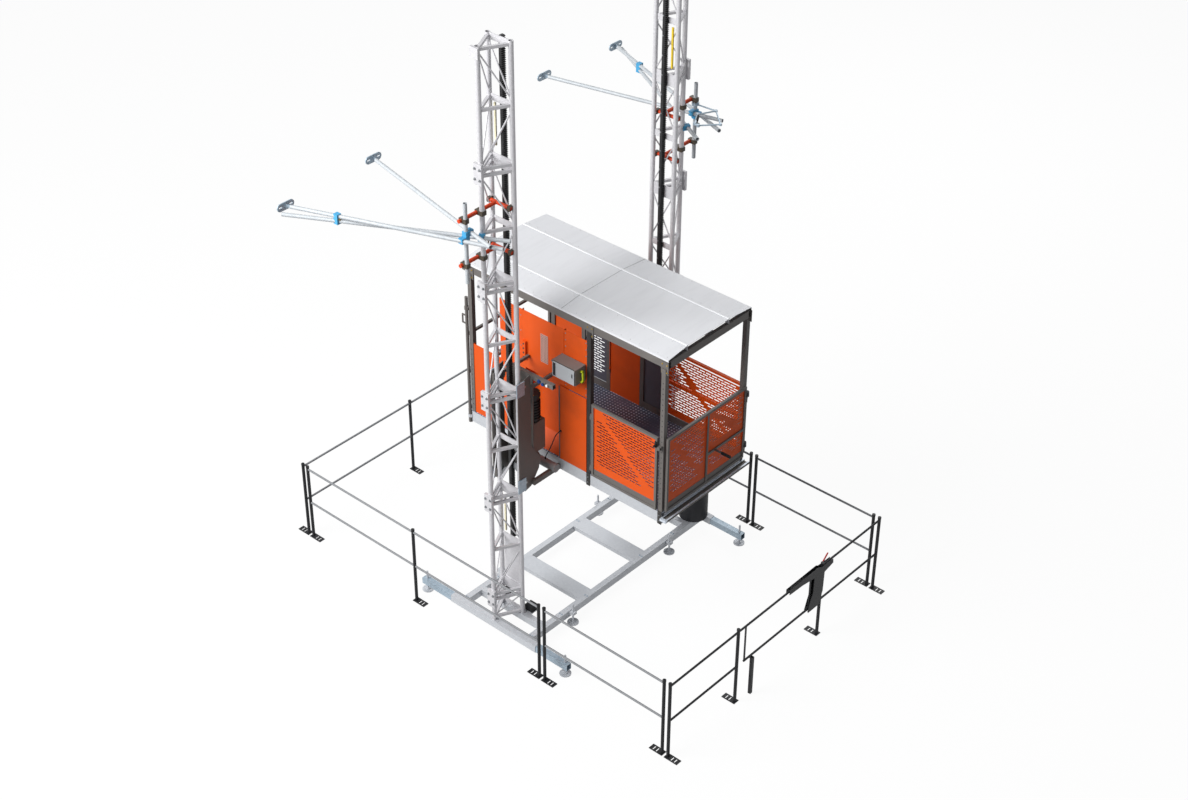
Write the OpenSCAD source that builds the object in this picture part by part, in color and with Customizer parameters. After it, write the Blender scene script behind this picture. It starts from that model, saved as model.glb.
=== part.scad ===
// Twin mast material hoist with base frame, ties, drive units, roofed platform and ground fence.
// Millimetres. X runs along the platform, Y from the near mast to the far mast, Z is up.
// The origin lies on the ground under the middle of the whole hoist.

/* [Mast] */
// Outside diameter of a mast leg tube
leg_d = 60; // [50:1:70]
// Wall of a mast leg tube
leg_wall = 4; // [3:0.5:6]
// Distance between the two legs beside the rack
leg_spacing = 340; // [320:5:370]
// Distance from the rack face legs to the apex leg
mast_depth = 334; // [310:2:360]
// Height of one mast section
section_h = 1508; // [1482:25:1534]
// Number of mast sections on each side
section_count = 5; // [5:1:6]
// Diameter of the lattice rods
rod_d = 18; // [14:1:22]
// Width of the square lattice bars
bar_w = 35; // [28:1:40]
// Distance from the middle of the hoist to the rack face legs
mast_y = 1396; // [1390:1:1410]
// Height of the foot piece under the lowest section
foot_piece_h = 365; // [330:5:420]

/* [Rack] */
// Module of the rack teeth
rack_module = 8; // [8:1:8]
// Teeth on a drive pinion
pinion_teeth = 15; // [15:1:15]
// Depth of the rack bar, away from the mast
rack_depth = 60; // [58:1:64]
// Width of the rack bar behind its teeth
rack_back = 34; // [26:1:40]
// Play between rack and pinion flanks
backlash = 0.8; // [0.6:0.1:1.2]

/* [Base] */
// Distance from the middle to the axis of each long beam
beam_x = 560; // [520:5:600]
// Width of the base tubes
beam_w = 80; // [70:2:90]
// Height of the base tubes
beam_h = 100; // [80:2:110]
// Top of the base tubes above the ground
base_top = 190; // [180:2:210]
// Wall of the base tubes
beam_wall = 5; // [4:0.5:8]
// Half the length of an outrigger housing
housing_half = 740; // [700:5:780]
// Distance from the middle to the outrigger foot
outrigger_reach = 1210; // [1180:5:1300]
// Width of the two wide cross plates
cross_plate_w = 240; // [180:5:280]
// Place of the near cross plate
near_plate_y = -605; // [-640:5:-560]
// Place of the far cross plate
far_plate_y = 455; // [420:5:500]
// Diameter of a foot pad
pad_d = 150; // [120:5:180]
// Diameter of a foot screw
screw_d = 26; // [20:1:32]
// Height of a foot screw above the ground
screw_top = 300; // [270:5:330]

/* [Platform] */
// Left end of the platform
platform_left = -1250; // [-1300:5:-1230]
// Right end of the platform
platform_right = 1895; // [1880:5:1950]
// Half the width of the platform
platform_half = 774; // [770:1:778]
// Underside of the platform frame above the ground
platform_z = 2165; // [2160:1:2170]
// Height of the side beams of the platform
side_beam_h = 160; // [140:5:170]
// Headroom from the deck to the roof frame
headroom = 2040; // [2030:5:2150]
// Height of the gates above the deck
gate_h = 1065; // [1020:5:1090]
// Height of the tall side panels above the deck
tall_h = 1900; // [1880:5:1920]
// Width of the roof posts
post_w = 60; // [50:1:64]
// Thickness of the sheet panels
sheet_t = 3; // [2:0.5:5]
// Height of the roof edge beams
roof_beam_h = 100; // [80:2:120]

/* [Drive] */
// Height of a drive frame
drive_h = 1660; // [1600:10:1700]
// Underside of a drive frame above the ground
drive_z = 2125; // [2120:1:2130]
// Diameter of a guide roller
roller_d = 100; // [90:1:104]
// Diameter of the roller and pinion shafts
shaft_d = 30; // [24:1:34]
// Diameter of a drive motor
motor_d = 180; // [150:2:190]

/* [Ties] */
// Outside diameter of the tie tubes
tie_d = 48; // [42:1:50]
// Height of the upper tie frame above the middle bars of its mast section
tie_upper_up = 257; // [245:1:270]
// Height of the lower tie frame above the foot of its mast section
tie_lower_up = 441; // [425:1:455]
// Distance from the masts to the wall plates
wall_x = 2040; // [2000:10:2100]

/* [Fence] */
// Left side of the fence
fence_left = -3192; // [-3250:5:-3100]
// Right side of the fence
fence_right = 3037; // [2980:5:3100]
// Near side of the fence
fence_near = -1983; // [-2040:5:-1960]
// Far side of the fence
fence_far = 2171; // [2140:5:2220]
// Height of the fence posts with their caps
fence_h = 1167; // [1140:5:1200]
// Diameter of the fence posts
fence_post_d = 42; // [38:1:48]
// Diameter of the fence rails
fence_rail_d = 28; // [24:1:32]

/* [Hidden] */

// Shared clearances
gap = 0.3;
shaft_gap = 0.06;
tiny = 1;

// Colours
orange = [0.94, 0.36, 0.12];
taupe = [0.42, 0.40, 0.39];
galvanised = [0.80, 0.81, 0.83];
blued = [0.62, 0.69, 0.76];
black = [0.08, 0.08, 0.09];
tie_red = [0.85, 0.27, 0.13];
coupler_blue = [0.25, 0.62, 0.85];
cream = [0.90, 0.86, 0.70];

// The whole hoist is centred on the origin along X
foot_plate_l = 200;
pair_half = 45;
foot_back = 30;
fence_reach = pair_half + foot_plate_l - foot_back;
shift_x = -(fence_left - fence_reach + fence_right + fence_reach) / 2;
module placed() translate([shift_x, 0, 0]) children();
// Draws the near side as written and the far side as its mirror image
module on_side(far) mirror([0, far ? 1 : 0, 0]) children();
module both_sides() {
  on_side(false) children();
  on_side(true) children();
}

// Box between two corners
module box(lo, hi) translate(lo) cube(hi - lo);
// Hollow rectangular tube between two corners, open at the ends along axis 0, 1 or 2
module tube_box(lo, hi, axis, wall) {
  inset = [for (i = [0:2]) i == axis ? -tiny : wall];
  difference() {
    box(lo, hi);
    box(lo + inset, hi - inset);
  }
}
// Straight rod between two points
module rod(p, q, d, fn = 8) {
  v = q - p;
  len = norm(v);
  translate(p) rotate([0, acos(v[2] / len), atan2(v[1], v[0])]) cylinder(d = d, h = len, $fn = fn);
}
module hollow_rod(p, q, d, wall) {
  v = q - p;
  len = norm(v);
  translate(p) rotate([0, acos(v[2] / len), atan2(v[1], v[0])]) difference() {
    cylinder(d = d, h = len, $fn = 32);
    translate([0, 0, -tiny]) cylinder(d = d - 2 * wall, h = len + 2 * tiny, $fn = 32);
  }
}
// Cylinders along X and Y from their low end
module x_cyl(p, d, h, fn = 32) translate(p) rotate([0, 90, 0]) cylinder(d = d, h = h, $fn = fn);
module y_cyl(p, d, h, fn = 32) translate(p) rotate([-90, 0, 0]) cylinder(d = d, h = h, $fn = fn);

// Mast geometry, in the near mast's own place
leg_half = leg_spacing / 2;
apex_y = -mast_y - mast_depth;
mast_z = base_top + foot_piece_h;
mast_top = mast_z + section_count * section_h;
// The fourth section from the ground carries the tie frames
tie_section_z = mast_z + 3 * section_h;
tie_lower_z = tie_section_z + tie_lower_up;
tie_upper_z = tie_section_z + section_h / 2 + tie_upper_up;
rod_end = 60;
joint_bar = 40;
rack_plate_h = 80;
rack_plate_t = 10;
block_w = 120;
block_h = 130;
block_d = 36;
legs = [[0, apex_y], [-leg_half, -mast_y], [leg_half, -mast_y]];
faces = [[0, 1], [0, 2], [1, 2]];

module cross_bar(a, b, z, w, h) {
  v = legs[b] - legs[a];
  translate([legs[a][0], legs[a][1], z - h / 2]) rotate([0, 0, atan2(v[1], v[0])])
    translate([leg_d / 2 - leg_wall, -w / 2, 0]) cube([norm(v) - leg_d + 2 * leg_wall, w, h]);
}
// Lattice of one height span: rods zigzag between z0 and z1 on each face. Those of the rack face lie
// a little back, so that the rack, the guard and the cams seat on the holed plates
rod_back = (rod_d - rack_plate_t) / 2 + gap;
module lattice_rods(z0, z1, rising) {
  for (f = faces) {
    back = [0, f[0] == 0 ? 0 : -rod_back];
    a = legs[f[0]] + back;
    b = legs[f[1]] + back;
    rod([a[0], a[1], rising ? z0 : z1], [b[0], b[1], rising ? z1 : z0], rod_d);
  }
}
module leg_tubes(z0, z1) {
  for (p = legs) translate([p[0], p[1], z0]) cylinder(d = leg_d, h = z1 - z0, $fn = 32);
}
module leg_bores(z0, z1) {
  for (p = legs) translate([p[0], p[1], z0 - tiny])
    cylinder(d = leg_d - 2 * leg_wall, h = z1 - z0 + 2 * tiny, $fn = 32);
}
module bar_ring(z) {
  cross_bar(0, 1, z, bar_w, bar_w);
  cross_bar(0, 2, z, bar_w, bar_w);
  cross_bar(1, 2, z, rack_plate_t, rack_plate_h);
}
block_sunk = 10;
module apex_block(z) {
  translate([-block_w / 2, apex_y - leg_d / 2 - block_d + block_sunk, z]) cube([block_w, block_d, block_h]);
}
module mast_section(z0) {
  z1 = z0 + section_h - gap;
  mid = (z0 + z1) / 2;
  difference() {
    union() {
      leg_tubes(z0, z1);
      for (z = [z0 + joint_bar, mid, z1 - joint_bar]) bar_ring(z);
      lattice_rods(z0 + rod_end, mid - rod_end, true);
      lattice_rods(mid + rod_end, z1 - rod_end, false);
      apex_block(z0);
      apex_block(z1 - block_h);
    }
    leg_bores(z0, z1);
  }
}
module mast_foot_piece() {
  z0 = base_top;
  z1 = mast_z - gap;
  difference() {
    union() {
      leg_tubes(z0, z1);
      bar_ring(z0 + joint_bar);
      bar_ring(z1 - joint_bar);
      lattice_rods(z0 + rod_end, z1 - rod_end, true);
      apex_block(z1 - block_h);
    }
    leg_bores(z0, z1);
  }
}
module mast() {
  mast_foot_piece();
  for (i = [0:section_count - 1]) mast_section(mast_z + i * section_h);
}
module near_mast() color(galvanised) placed() on_side(false) mast();
module far_mast() color(galvanised) placed() on_side(true) mast();

// Rack bars stand on the holed plates of the rack face, from half of the first section up
pitch = PI * rack_module;
rack_addendum = 0.8 * rack_module;
tooth_depth = 1.9 * rack_module;
rack_y = -mast_y + rack_plate_t / 2;
rack_z = mast_z + section_h / 2;
pitch_x = rack_back / 2 + tooth_depth - rack_addendum;
flank = tan(20);
module rack_bar(z0, teeth) {
  tip_half = pitch / 4 - backlash / 4 - rack_addendum * flank;
  root_half = tip_half + tooth_depth * flank;
  points = [
    for (i = [0:teeth - 1]) let (c = (i + 0.5) * pitch) each [
      [pitch_x - tooth_depth + rack_addendum, c - root_half],
      [pitch_x + rack_addendum, c - tip_half],
      [pitch_x + rack_addendum, c + tip_half],
      [pitch_x - tooth_depth + rack_addendum, c + root_half]
    ]
  ];
  outline = concat([[-rack_back / 2, 0], [pitch_x - tooth_depth + rack_addendum, 0]], points,
    [[pitch_x - tooth_depth + rack_addendum, teeth * pitch - gap], [-rack_back / 2, teeth * pitch - gap]]);
  translate([0, rack_y + rack_depth, z0]) rotate([90, 0, 0]) linear_extrude(rack_depth) polygon(outline);
}
teeth_full = round(section_h / pitch);
teeth_half = floor(teeth_full / 2);
module rack() {
  rack_bar(rack_z, teeth_half);
  for (i = [1:section_count - 1]) rack_bar(rack_z + (teeth_half + (i - 1) * teeth_full) * pitch, teeth_full);
}
module racks() color(black) placed() both_sides() rack();

// Sheet guard over the rack face below the rack
guard_t = 3;
guard_side = leg_half - 45;
guard_low = 10;
guard_high = 30;
module mast_guards() {
  color(galvanised) placed() both_sides()
    box([-guard_side, rack_y, mast_z + guard_low], [guard_side, rack_y + guard_t, rack_z - guard_high]);
}
// Cam strips that trip the travel switches, beside the rack
cam_w = 22;
cam_t = 20;
cam_l = 520;
cam_x = 102;
cam_up = 60;
cam_down = 1340;
cam_low = rack_z + cam_up;
cam_high = mast_top - cam_down;
module cam(x, z) box([x, rack_y, z], [x + cam_w, rack_y + cam_t, z + cam_l]);
module limit_cams() color(cream) placed() {
  for (z = [cam_low, cam_high]) {
    cam(-cam_x - cam_w / 2, z);
    on_side(true) cam(cam_x - cam_w / 2, z);
  }
}

// Base frame
beam_z = base_top - beam_h;
housing_w = beam_w + 10;
housing_y = -apex_y;
housing_in = housing_y - housing_w / 2;
module long_beams() {
  for (s = [-1, 1])
    tube_box([s * beam_x - beam_w / 2, -housing_in + gap, beam_z],
      [s * beam_x + beam_w / 2, housing_in - gap, base_top], 1, beam_wall);
}
cross_plate_h = 60;
buffer_x = 215;
buffer_half = 60;
buffer_l = 110;
buffer_back = 20;
buffer_y = mast_y - beam_w / 2 - gap - buffer_back - buffer_l;
shelf_t = 12;
shelf_rim = 5;
module cross_members() {
  inner = beam_x - beam_w / 2 - gap;
  for (y = [near_plate_y, far_plate_y])
    tube_box([-inner, y - cross_plate_w / 2, base_top - cross_plate_h],
      [inner, y + cross_plate_w / 2, base_top - gap], 0, beam_wall);
  for (s = [-1, 1])
    tube_box([-inner, s * mast_y - beam_w / 2, beam_z],
      [inner, s * mast_y + beam_w / 2, base_top - gap], 0, beam_wall);
  // Shelves that carry the buffers
  both_sides() for (s = [-1, 1])
    box([s * buffer_x - buffer_half - shelf_rim, -mast_y + beam_w / 2 + gap, base_top - shelf_t],
      [s * buffer_x + buffer_half + shelf_rim, -buffer_y + shelf_rim, base_top - gap]);
}
buffer_h = 85;
module base_beams() color(galvanised) placed() {
  long_beams();
  cross_members();
  for (sx = [-1, 1]) for (sy = [-1, 1]) beam_lug(sx * beam_foot_x, sy * beam_foot_y);
}
module base_buffers() {
  color(black) placed() both_sides() for (s = [-1, 1])
    box([s * buffer_x - buffer_half, -buffer_y - buffer_l, base_top],
      [s * buffer_x + buffer_half, -buffer_y, base_top + buffer_h]);
}
housing_wall = 5;
module outrigger_housings() {
  color(galvanised) placed() both_sides()
    tube_box([-housing_half, -housing_y - housing_w / 2, beam_z],
      [housing_half, -housing_y + housing_w / 2, base_top - gap], 0, housing_wall);
}
arm_inner = 320;
arm_over = 60;
arm_end = outrigger_reach + arm_over;
arm_wall = 4;
arm_w = housing_w - 2 * housing_wall - 2 * gap;
arm_top = base_top - gap - housing_wall - gap;
arm_bottom = beam_z + housing_wall + gap;
nut_d = 56;
nut_h = 20;
screw_bore = screw_d + 2 * shaft_gap;
module arm(far, right) on_side(far) mirror([right ? 0 : 1, 0, 0]) difference() {
  union() {
    tube_box([arm_inner, -housing_y - arm_w / 2, arm_bottom],
      [arm_end, -housing_y + arm_w / 2, arm_top], 0, arm_wall);
    // Nut for the foot screw, welded under the arm
    translate([outrigger_reach, -housing_y, arm_bottom - nut_h])
      cylinder(d = nut_d, h = nut_h + tiny, $fn = 6);
  }
  translate([outrigger_reach, -housing_y, 0]) cylinder(d = screw_bore, h = screw_top, $fn = 32);
}
module outrigger_arm_near_left() color(blued) placed() arm(false, false);
module outrigger_arm_near_right() color(blued) placed() arm(false, true);
module outrigger_arm_far_left() color(blued) placed() arm(true, false);
module outrigger_arm_far_right() color(blued) placed() arm(true, true);

// Levelling foot: pad, hub and screw
pad_t = 14;
hub_d = 60;
hub_h = 16;
module foot(x, y) translate([x, y, 0]) {
  cylinder(d = pad_d, h = pad_t, $fn = 48);
  translate([0, 0, pad_t]) cylinder(d = hub_d, h = hub_h, $fn = 32);
  translate([0, 0, pad_t + hub_h]) cylinder(d = screw_d, h = screw_top - pad_t - hub_h, $fn = 32);
}
module arm_foot(sx, sy) color(galvanised) placed() foot(sx * outrigger_reach, sy * housing_y);
module outrigger_foot_near_left() arm_foot(-1, -1);
module outrigger_foot_near_right() arm_foot(1, -1);
module outrigger_foot_far_left() arm_foot(-1, 1);
module outrigger_foot_far_right() arm_foot(1, 1);
// Four more feet stand in threaded lugs on the long beams
beam_foot_y = 955;
lug_t = 40;
lug_l = 70;
lug_top = base_top - 10;
beam_foot_x = beam_x + beam_w / 2 + lug_l / 2 + gap;
module beam_lug(x, y) difference() {
  box([x - lug_l / 2, y - lug_l / 2, lug_top - lug_t], [x + lug_l / 2, y + lug_l / 2, lug_top]);
  translate([x, y, 0]) cylinder(d = screw_bore, h = screw_top, $fn = 32);
}
module beam_foot(sx, sy) color(galvanised) placed() foot(sx * beam_foot_x, sy * beam_foot_y);
module beam_foot_near_left() beam_foot(-1, -1);
module beam_foot_near_right() beam_foot(1, -1);
module beam_foot_far_left() beam_foot(-1, 1);
module beam_foot_far_right() beam_foot(1, 1);

// Cable bucket beside the far mast
bucket_d = 390;
bucket_h = 520;
bucket_wall = 5;
bucket_at = [497, 1621];
module cable_bucket() color(black) placed() translate([bucket_at[0], bucket_at[1], base_top]) difference() {
  cylinder(d = bucket_d, h = bucket_h, $fn = 64);
  translate([0, 0, bucket_wall]) cylinder(d = bucket_d - 2 * bucket_wall, h = bucket_h, $fn = 64);
}

// Ties from the masts to the wall
tie_wall = 4;
upright_out = 225;
tie_over = 60;
upright_y = -apex_y + leg_d / 2 + upright_out;
tie_side_x = -(leg_d + tie_d) / 2 - gap;
cross_tie_y = -mast_y - (leg_d + tie_d) / 2 - gap;
cross_tie_half = leg_half + 4;
tie_out_y = -upright_y - tie_over;
module tie_frame(z) {
  x_cyl([-cross_tie_half, cross_tie_y, z], tie_d, 2 * cross_tie_half);
  y_cyl([tie_side_x, tie_out_y, z], tie_d, cross_tie_y - tie_d / 2 - gap - tie_out_y);
}
module tie_frames() color(tie_red) placed() both_sides() {
  for (z = [tie_lower_z, tie_upper_z]) tie_frame(z);
}
upright_x = tie_side_x + tie_d + gap;
upright_over = 225;
// Each tie tube passes the mast at a given place and runs to the wall at a given slope
tie_above_mid = 65;
tie_mid_z = (tie_upper_z + tie_lower_z) / 2 + tie_above_mid;
tube_space = 14;
coupler_pitch = tie_d + tube_space;
outer_slope = 0.3825;
brace_slope = 0.555;
inner_slope = -0.224;
outer_pass = -upright_y - coupler_pitch / cos(atan(outer_slope)) + upright_x * outer_slope;
inner_pass = -upright_y + coupler_pitch / cos(atan(inner_slope)) - upright_x * inner_slope;
brace_off = leg_d / 2 + tie_d / 2 + tube_space;
brace_pass = apex_y - brace_off / cos(atan(brace_slope));
function tie_point(t, x) = [x, t[0] + t[1] * x, t[2]];
plate_t = 12;
lug_x = 55;
tie_reach = -wall_x + plate_t + lug_x;
brace_short = 40;
// Each tie tube: its pass, slope, height, wall end and free end
outer_tie = [outer_pass, outer_slope, tie_mid_z, tie_reach, 460];
brace_tie = [brace_pass, brace_slope, tie_mid_z - coupler_pitch, brace_short - wall_x, 330];
inner_tie = [inner_pass, inner_slope, tie_mid_z + coupler_pitch, tie_reach, 400];
module tie_tubes() color(galvanised) placed() both_sides() {
  for (t = [outer_tie, brace_tie, inner_tie])
    hollow_rod(tie_point(t, t[3]), tie_point(t, t[4]), tie_d, tie_wall);
  hollow_rod([upright_x, -upright_y, tie_lower_z - upright_over],
    [upright_x, -upright_y, tie_upper_z + upright_over], tie_d, tie_wall);
}
// Wall plate with two slots and a lug for the end of its tie tube
wall_plate_l = 250;
wall_plate_h = 100;
slot_l = 50;
slot_w = 18;
slot_pitch = 160;
module oblong(l, w) {
  square([l - w, w], center = true);
  for (e = [-1, 1]) translate([e * (l - w) / 2, 0]) circle(d = w, $fn = 48);
}
wall_lug_h = 40;
wall_lug_w = 10;
module wall_plate(t) translate([-wall_x, t[0] - t[1] * (wall_x - plate_t), t[2]]) {
  rotate([90, 0, 90]) linear_extrude(plate_t) difference() {
    oblong(wall_plate_l, wall_plate_h);
    for (s = [-1, 1]) translate([s * slot_pitch / 2, 0]) oblong(slot_l, slot_w);
  }
  translate([plate_t, 0, 0]) rotate([0, 0, atan(t[1])])
    box([-wall_lug_w / 2, -wall_lug_w / 2, -wall_lug_h / 2],
      [lug_x / cos(atan(t[1])) - gap, wall_lug_w / 2, wall_lug_h / 2]);
}
module wall_plates() color(blued) placed() both_sides() for (t = [outer_tie, inner_tie]) wall_plate(t);
// Bores that clamps and couplers leave for their tubes
coupler_w = tie_d + 16;
coupler_end = 5;
coupler_back = 2;
bore_half = 3 * tie_d;
module bore_z(x, y, z, d) {
  translate([x, y, z - bore_half]) cylinder(d = d + 2 * gap, h = 2 * bore_half, $fn = 32);
}
module bore_tie(t, x) {
  from = tie_point(t, x - bore_half);
  v = tie_point(t, x + bore_half) - from;
  translate(from) rotate([0, 90, atan2(v[1], v[0])]) cylinder(d = tie_d + 2 * gap, h = norm(v), $fn = 32);
}
module tie_couplers() color(coupler_blue) placed() both_sides() {
  // Tie tubes to the upright tube
  for (t = [outer_tie, inner_tie]) {
    away = t[0] < -upright_y ? -1 : 1;
    difference() {
      translate([upright_x, -upright_y + away * coupler_pitch / 2, t[2]])
        cube([coupler_w, coupler_pitch + tie_d + 2 * coupler_end, coupler_w], center = true);
      bore_z(upright_x, -upright_y, t[2], tie_d);
      bore_tie(t, upright_x);
    }
  }
  // Brace tube to the apex leg
  difference() {
    translate([0, apex_y, brace_tie[2]]) rotate([0, 0, atan(brace_slope)])
      box([-coupler_w / 2, -brace_off - coupler_w / 2, -coupler_w / 2],
        [coupler_w / 2, -coupler_back, coupler_w / 2]);
    bore_z(0, apex_y, brace_tie[2], leg_d);
    bore_tie(brace_tie, brace_off * sin(atan(brace_slope)));
  }
  // Brace tube to the outer tube, where they cross
  cross_x = (outer_pass - brace_pass) / (brace_slope - outer_slope);
  difference() {
    translate([cross_x, outer_pass + outer_slope * cross_x, tie_mid_z - coupler_pitch / 2])
      cube([coupler_w, coupler_w, coupler_pitch + coupler_w], center = true);
    bore_tie(outer_tie, cross_x);
    bore_tie(brace_tie, cross_x);
  }
}
// Dark clamps that hold the red tubes to the legs and to the upright tube
clamp_wall = 5;
clamp_h = tie_d + 8;
leg_clamp_w = 42;
leg_clamp_x = leg_half - 13;
leg_clamp_back = 12;
module tie_clamp(c, z) difference() {
  half = c[2] / 2 + clamp_wall;
  box([tie_side_x - tie_d / 2 - clamp_wall, c[1] - half, z - clamp_h / 2],
    [c[0] + half, c[1] + half, z + clamp_h / 2]);
  bore_z(c[0], c[1], z, c[2]);
  y_cyl([tie_side_x, c[1] - bore_half, z], tie_d + 2 * gap, 2 * bore_half);
}
module leg_clamp(s, z) difference() {
  x = s * leg_clamp_x;
  box([x - leg_clamp_w / 2, cross_tie_y - tie_d / 2 - clamp_wall, z - clamp_h / 2],
    [x + leg_clamp_w / 2, -mast_y - leg_clamp_back, z + clamp_h / 2]);
  bore_z(s * leg_half, -mast_y, z, leg_d);
  x_cyl([x - bore_half, cross_tie_y, z], tie_d + 2 * gap, 2 * bore_half);
}
module tie_clamps() color(black) placed() both_sides() for (z = [tie_lower_z, tie_upper_z]) {
  for (c = [[0, apex_y, leg_d], [upright_x, -upright_y, tie_d]]) tie_clamp(c, z);
  for (s = [-1, 1]) leg_clamp(s, z);
}

// Guide that keeps the hanging cable over its bucket
guide_clamp_w = 66;
guide_clamp_h = 44;
guide_space = 8;
guide_z = tie_upper_z - clamp_h / 2 - guide_space - guide_clamp_h / 2;
guide_d = 20;
hoop_d = 28;
knuckle_d = 2 * guide_d;
knuckle_over = 4;
guide_at = upright_y - 120;
// Corners of the frame, then of its rubber lined hoop, seen from above
guide_frame = [[upright_x + tie_d / 2 + 3, upright_y], [300, guide_at + 140], [560, guide_at - 100],
  [380, guide_at - 300]];
guide_hoop = [[380, guide_at - 300], [320, guide_at - 290], [190, guide_at - 80]];
module rod_chain(points, z, d) {
  for (i = [0:len(points) - 2])
    rod([points[i][0], points[i][1], z], [points[i + 1][0], points[i + 1][1], z], d);
}
// Round knuckle that the rods of one corner are welded into
module knuckle(at, d)
  translate([at[0], at[1], guide_z]) cylinder(d = knuckle_d, h = d + knuckle_over, center = true, $fn = 32);
module cable_guide() color(blued) placed() {
  rod_chain(guide_frame, guide_z, guide_d);
  rod_chain([guide_frame[1], guide_hoop[2]], guide_z, guide_d);
  rod_chain(guide_hoop, guide_z, hoop_d);
  for (i = [1, 2]) knuckle(guide_frame[i], guide_d);
  for (at = guide_hoop) knuckle(at, hoop_d);
  difference() {
    translate([upright_x, upright_y, guide_z])
      cube([guide_clamp_w, guide_clamp_w, guide_clamp_h], center = true);
    bore_z(upright_x, upright_y, guide_z, tie_d);
  }
}

// Fence: posts with foot plates, saddle cut rails between them
rail_upper = fence_h - 47;
rail_lower = 570;
cap_h = 25;
cap_d = fence_post_d + 4;
foot_plate_t = 8;
foot_slots = [70, 120];
foot_slot_w = 16;
foot_slot_l = 60;
mid_near_x = -1163;
pair_x = 1053;
mid_left_y = -29;
latch_post_y = -719;
bracket_post_y = 953;
plate_w = 90;
barrier_x = fence_right + pair_half;
bracket_gap = fence_post_d / 2 + 2.5;
bracket_t = 5;
plate_out = bracket_gap + bracket_t;
pivot_d = 20;
pivot_z = rail_upper;
module fence_post(x, y, dir) {
  translate([x, y, 0]) {
    cylinder(d = fence_post_d, h = fence_h - cap_h, $fn = 32);
    translate([0, 0, fence_h - cap_h]) cylinder(d = cap_d, h = cap_h, $fn = 32);
    mirror([dir > 0 ? 0 : 1, 0, 0]) difference() {
      box([-foot_back, -plate_w / 2, 0], [foot_plate_l - foot_back, plate_w / 2, foot_plate_t]);
      for (k = foot_slots)
        box([k - foot_slot_w / 2, -foot_slot_l / 2, -tiny],
          [k + foot_slot_w / 2, foot_slot_l / 2, foot_plate_t + tiny]);
    }
  }
}
near_row = [fence_left + pair_half, mid_near_x, pair_x - pair_half];
left_row = [fence_near, mid_left_y, fence_far];
module fence_posts() color(black) placed() {
  for (y = [fence_near, fence_far]) {
    for (x = [fence_left - pair_half, pair_x - pair_half, fence_right - pair_half]) fence_post(x, y, -1);
    for (x = [fence_left + pair_half, pair_x + pair_half, fence_right + pair_half]) fence_post(x, y, 1);
  }
  fence_post(mid_near_x, fence_near, 1);
  fence_post(fence_left - pair_half, mid_left_y, 1);
  fence_post(fence_right + pair_half, latch_post_y, -1);
  fence_post(barrier_x, bracket_post_y, -1);
  // Pivot of the barrier
  x_cyl([barrier_x - plate_out, bracket_post_y, pivot_z], pivot_d, 2 * plate_out);
}
// A rail ends in saddle cuts round its posts
module saddle(x, y, z) {
  translate([x, y, z - fence_rail_d]) cylinder(d = fence_post_d + 2 * gap, h = 2 * fence_rail_d, $fn = 32);
}
module rail_x(x0, x1, y, z) difference() {
  x_cyl([x0, y, z], fence_rail_d, x1 - x0);
  for (x = [x0, x1]) saddle(x, y, z);
}
module rail_y(y0, y1, x, z) difference() {
  y_cyl([x, y0, z], fence_rail_d, y1 - y0);
  for (y = [y0, y1]) saddle(x, y, z);
}
module fence_rails() color(taupe) placed() for (z = [rail_lower, rail_upper]) {
  for (i = [0, 1]) rail_x(near_row[i], near_row[i + 1], fence_near, z);
  rail_x(near_row[0], near_row[2], fence_far, z);
  for (y = [fence_near, fence_far]) rail_x(pair_x + pair_half, fence_right - pair_half, y, z);
  for (i = [0, 1]) rail_y(left_row[i], left_row[i + 1], fence_left - pair_half, z);
  rail_y(fence_near, latch_post_y, fence_right + pair_half, z);
  rail_y(bracket_post_y, fence_far, fence_right + pair_half, z);
}

// Lift-up barrier in the right side of the fence: it turns on the pivot in its post
lever_y = bracket_post_y + 32;
lever_z = rail_upper - 28;
lever_pin = 12;
lever_hub = 28;
lever_hub_t = 13;
lever_rod = 11;
lever_l = 166;
lever_lean = 48;
// Outline of a bracket plate, measured from the pivot
plate_line = [[190, 8], [60, 14], [-60, 20], [-100, 45], [-703, 38], [-703, -25], [-430, -38],
  [-190, -75], [-194, -300], [-285, -555], [-272, -586], [-50, -586], [-38, -560], [12, -395],
  [22, -100], [197, -57]];
module bracket_plate(s) {
  x = barrier_x + s * (bracket_gap + bracket_t / 2) - bracket_t / 2;
  translate([x, 0, 0]) rotate([90, 0, 90]) linear_extrude(bracket_t) difference() {
    translate([bracket_post_y, pivot_z]) polygon(plate_line);
    translate([bracket_post_y, pivot_z]) circle(d = pivot_d + 2 * shaft_gap, $fn = 32);
    // Only the inner plate carries the lever
    if (s < 0) translate([lever_y, lever_z]) circle(d = lever_pin + 2 * shaft_gap, $fn = 32);
  }
}
module barrier_bracket() color(black) placed() for (s = [-1, 1]) bracket_plate(s);
// The lower rail is shorter, so that its end clears the latch post as the arm turns up
arm_gap = 12;
arm_y0 = latch_post_y + fence_post_d / 2 + arm_gap;
arm_reach = bracket_post_y - arm_y0;
arm_drop = pivot_z - rail_lower + fence_rail_d / 2;
arm_lower_y0 = bracket_post_y - sqrt(arm_reach * arm_reach - arm_drop * arm_drop);
arm_y1 = bracket_post_y - 85;
arm_lower_y1 = arm_y1 - 60;
arm_bar_w = 24;
arm_bar_t = 12;
arm_bars = [arm_lower_y0 + arm_bar_w / 2, arm_y1 - 150];
// Spacers that carry the arm between the bracket plates
spacer_d = 24;
spacers = [[320, rail_upper], [arm_y1 - 30, rail_upper], [arm_y1 - 90, rail_lower]];
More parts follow.
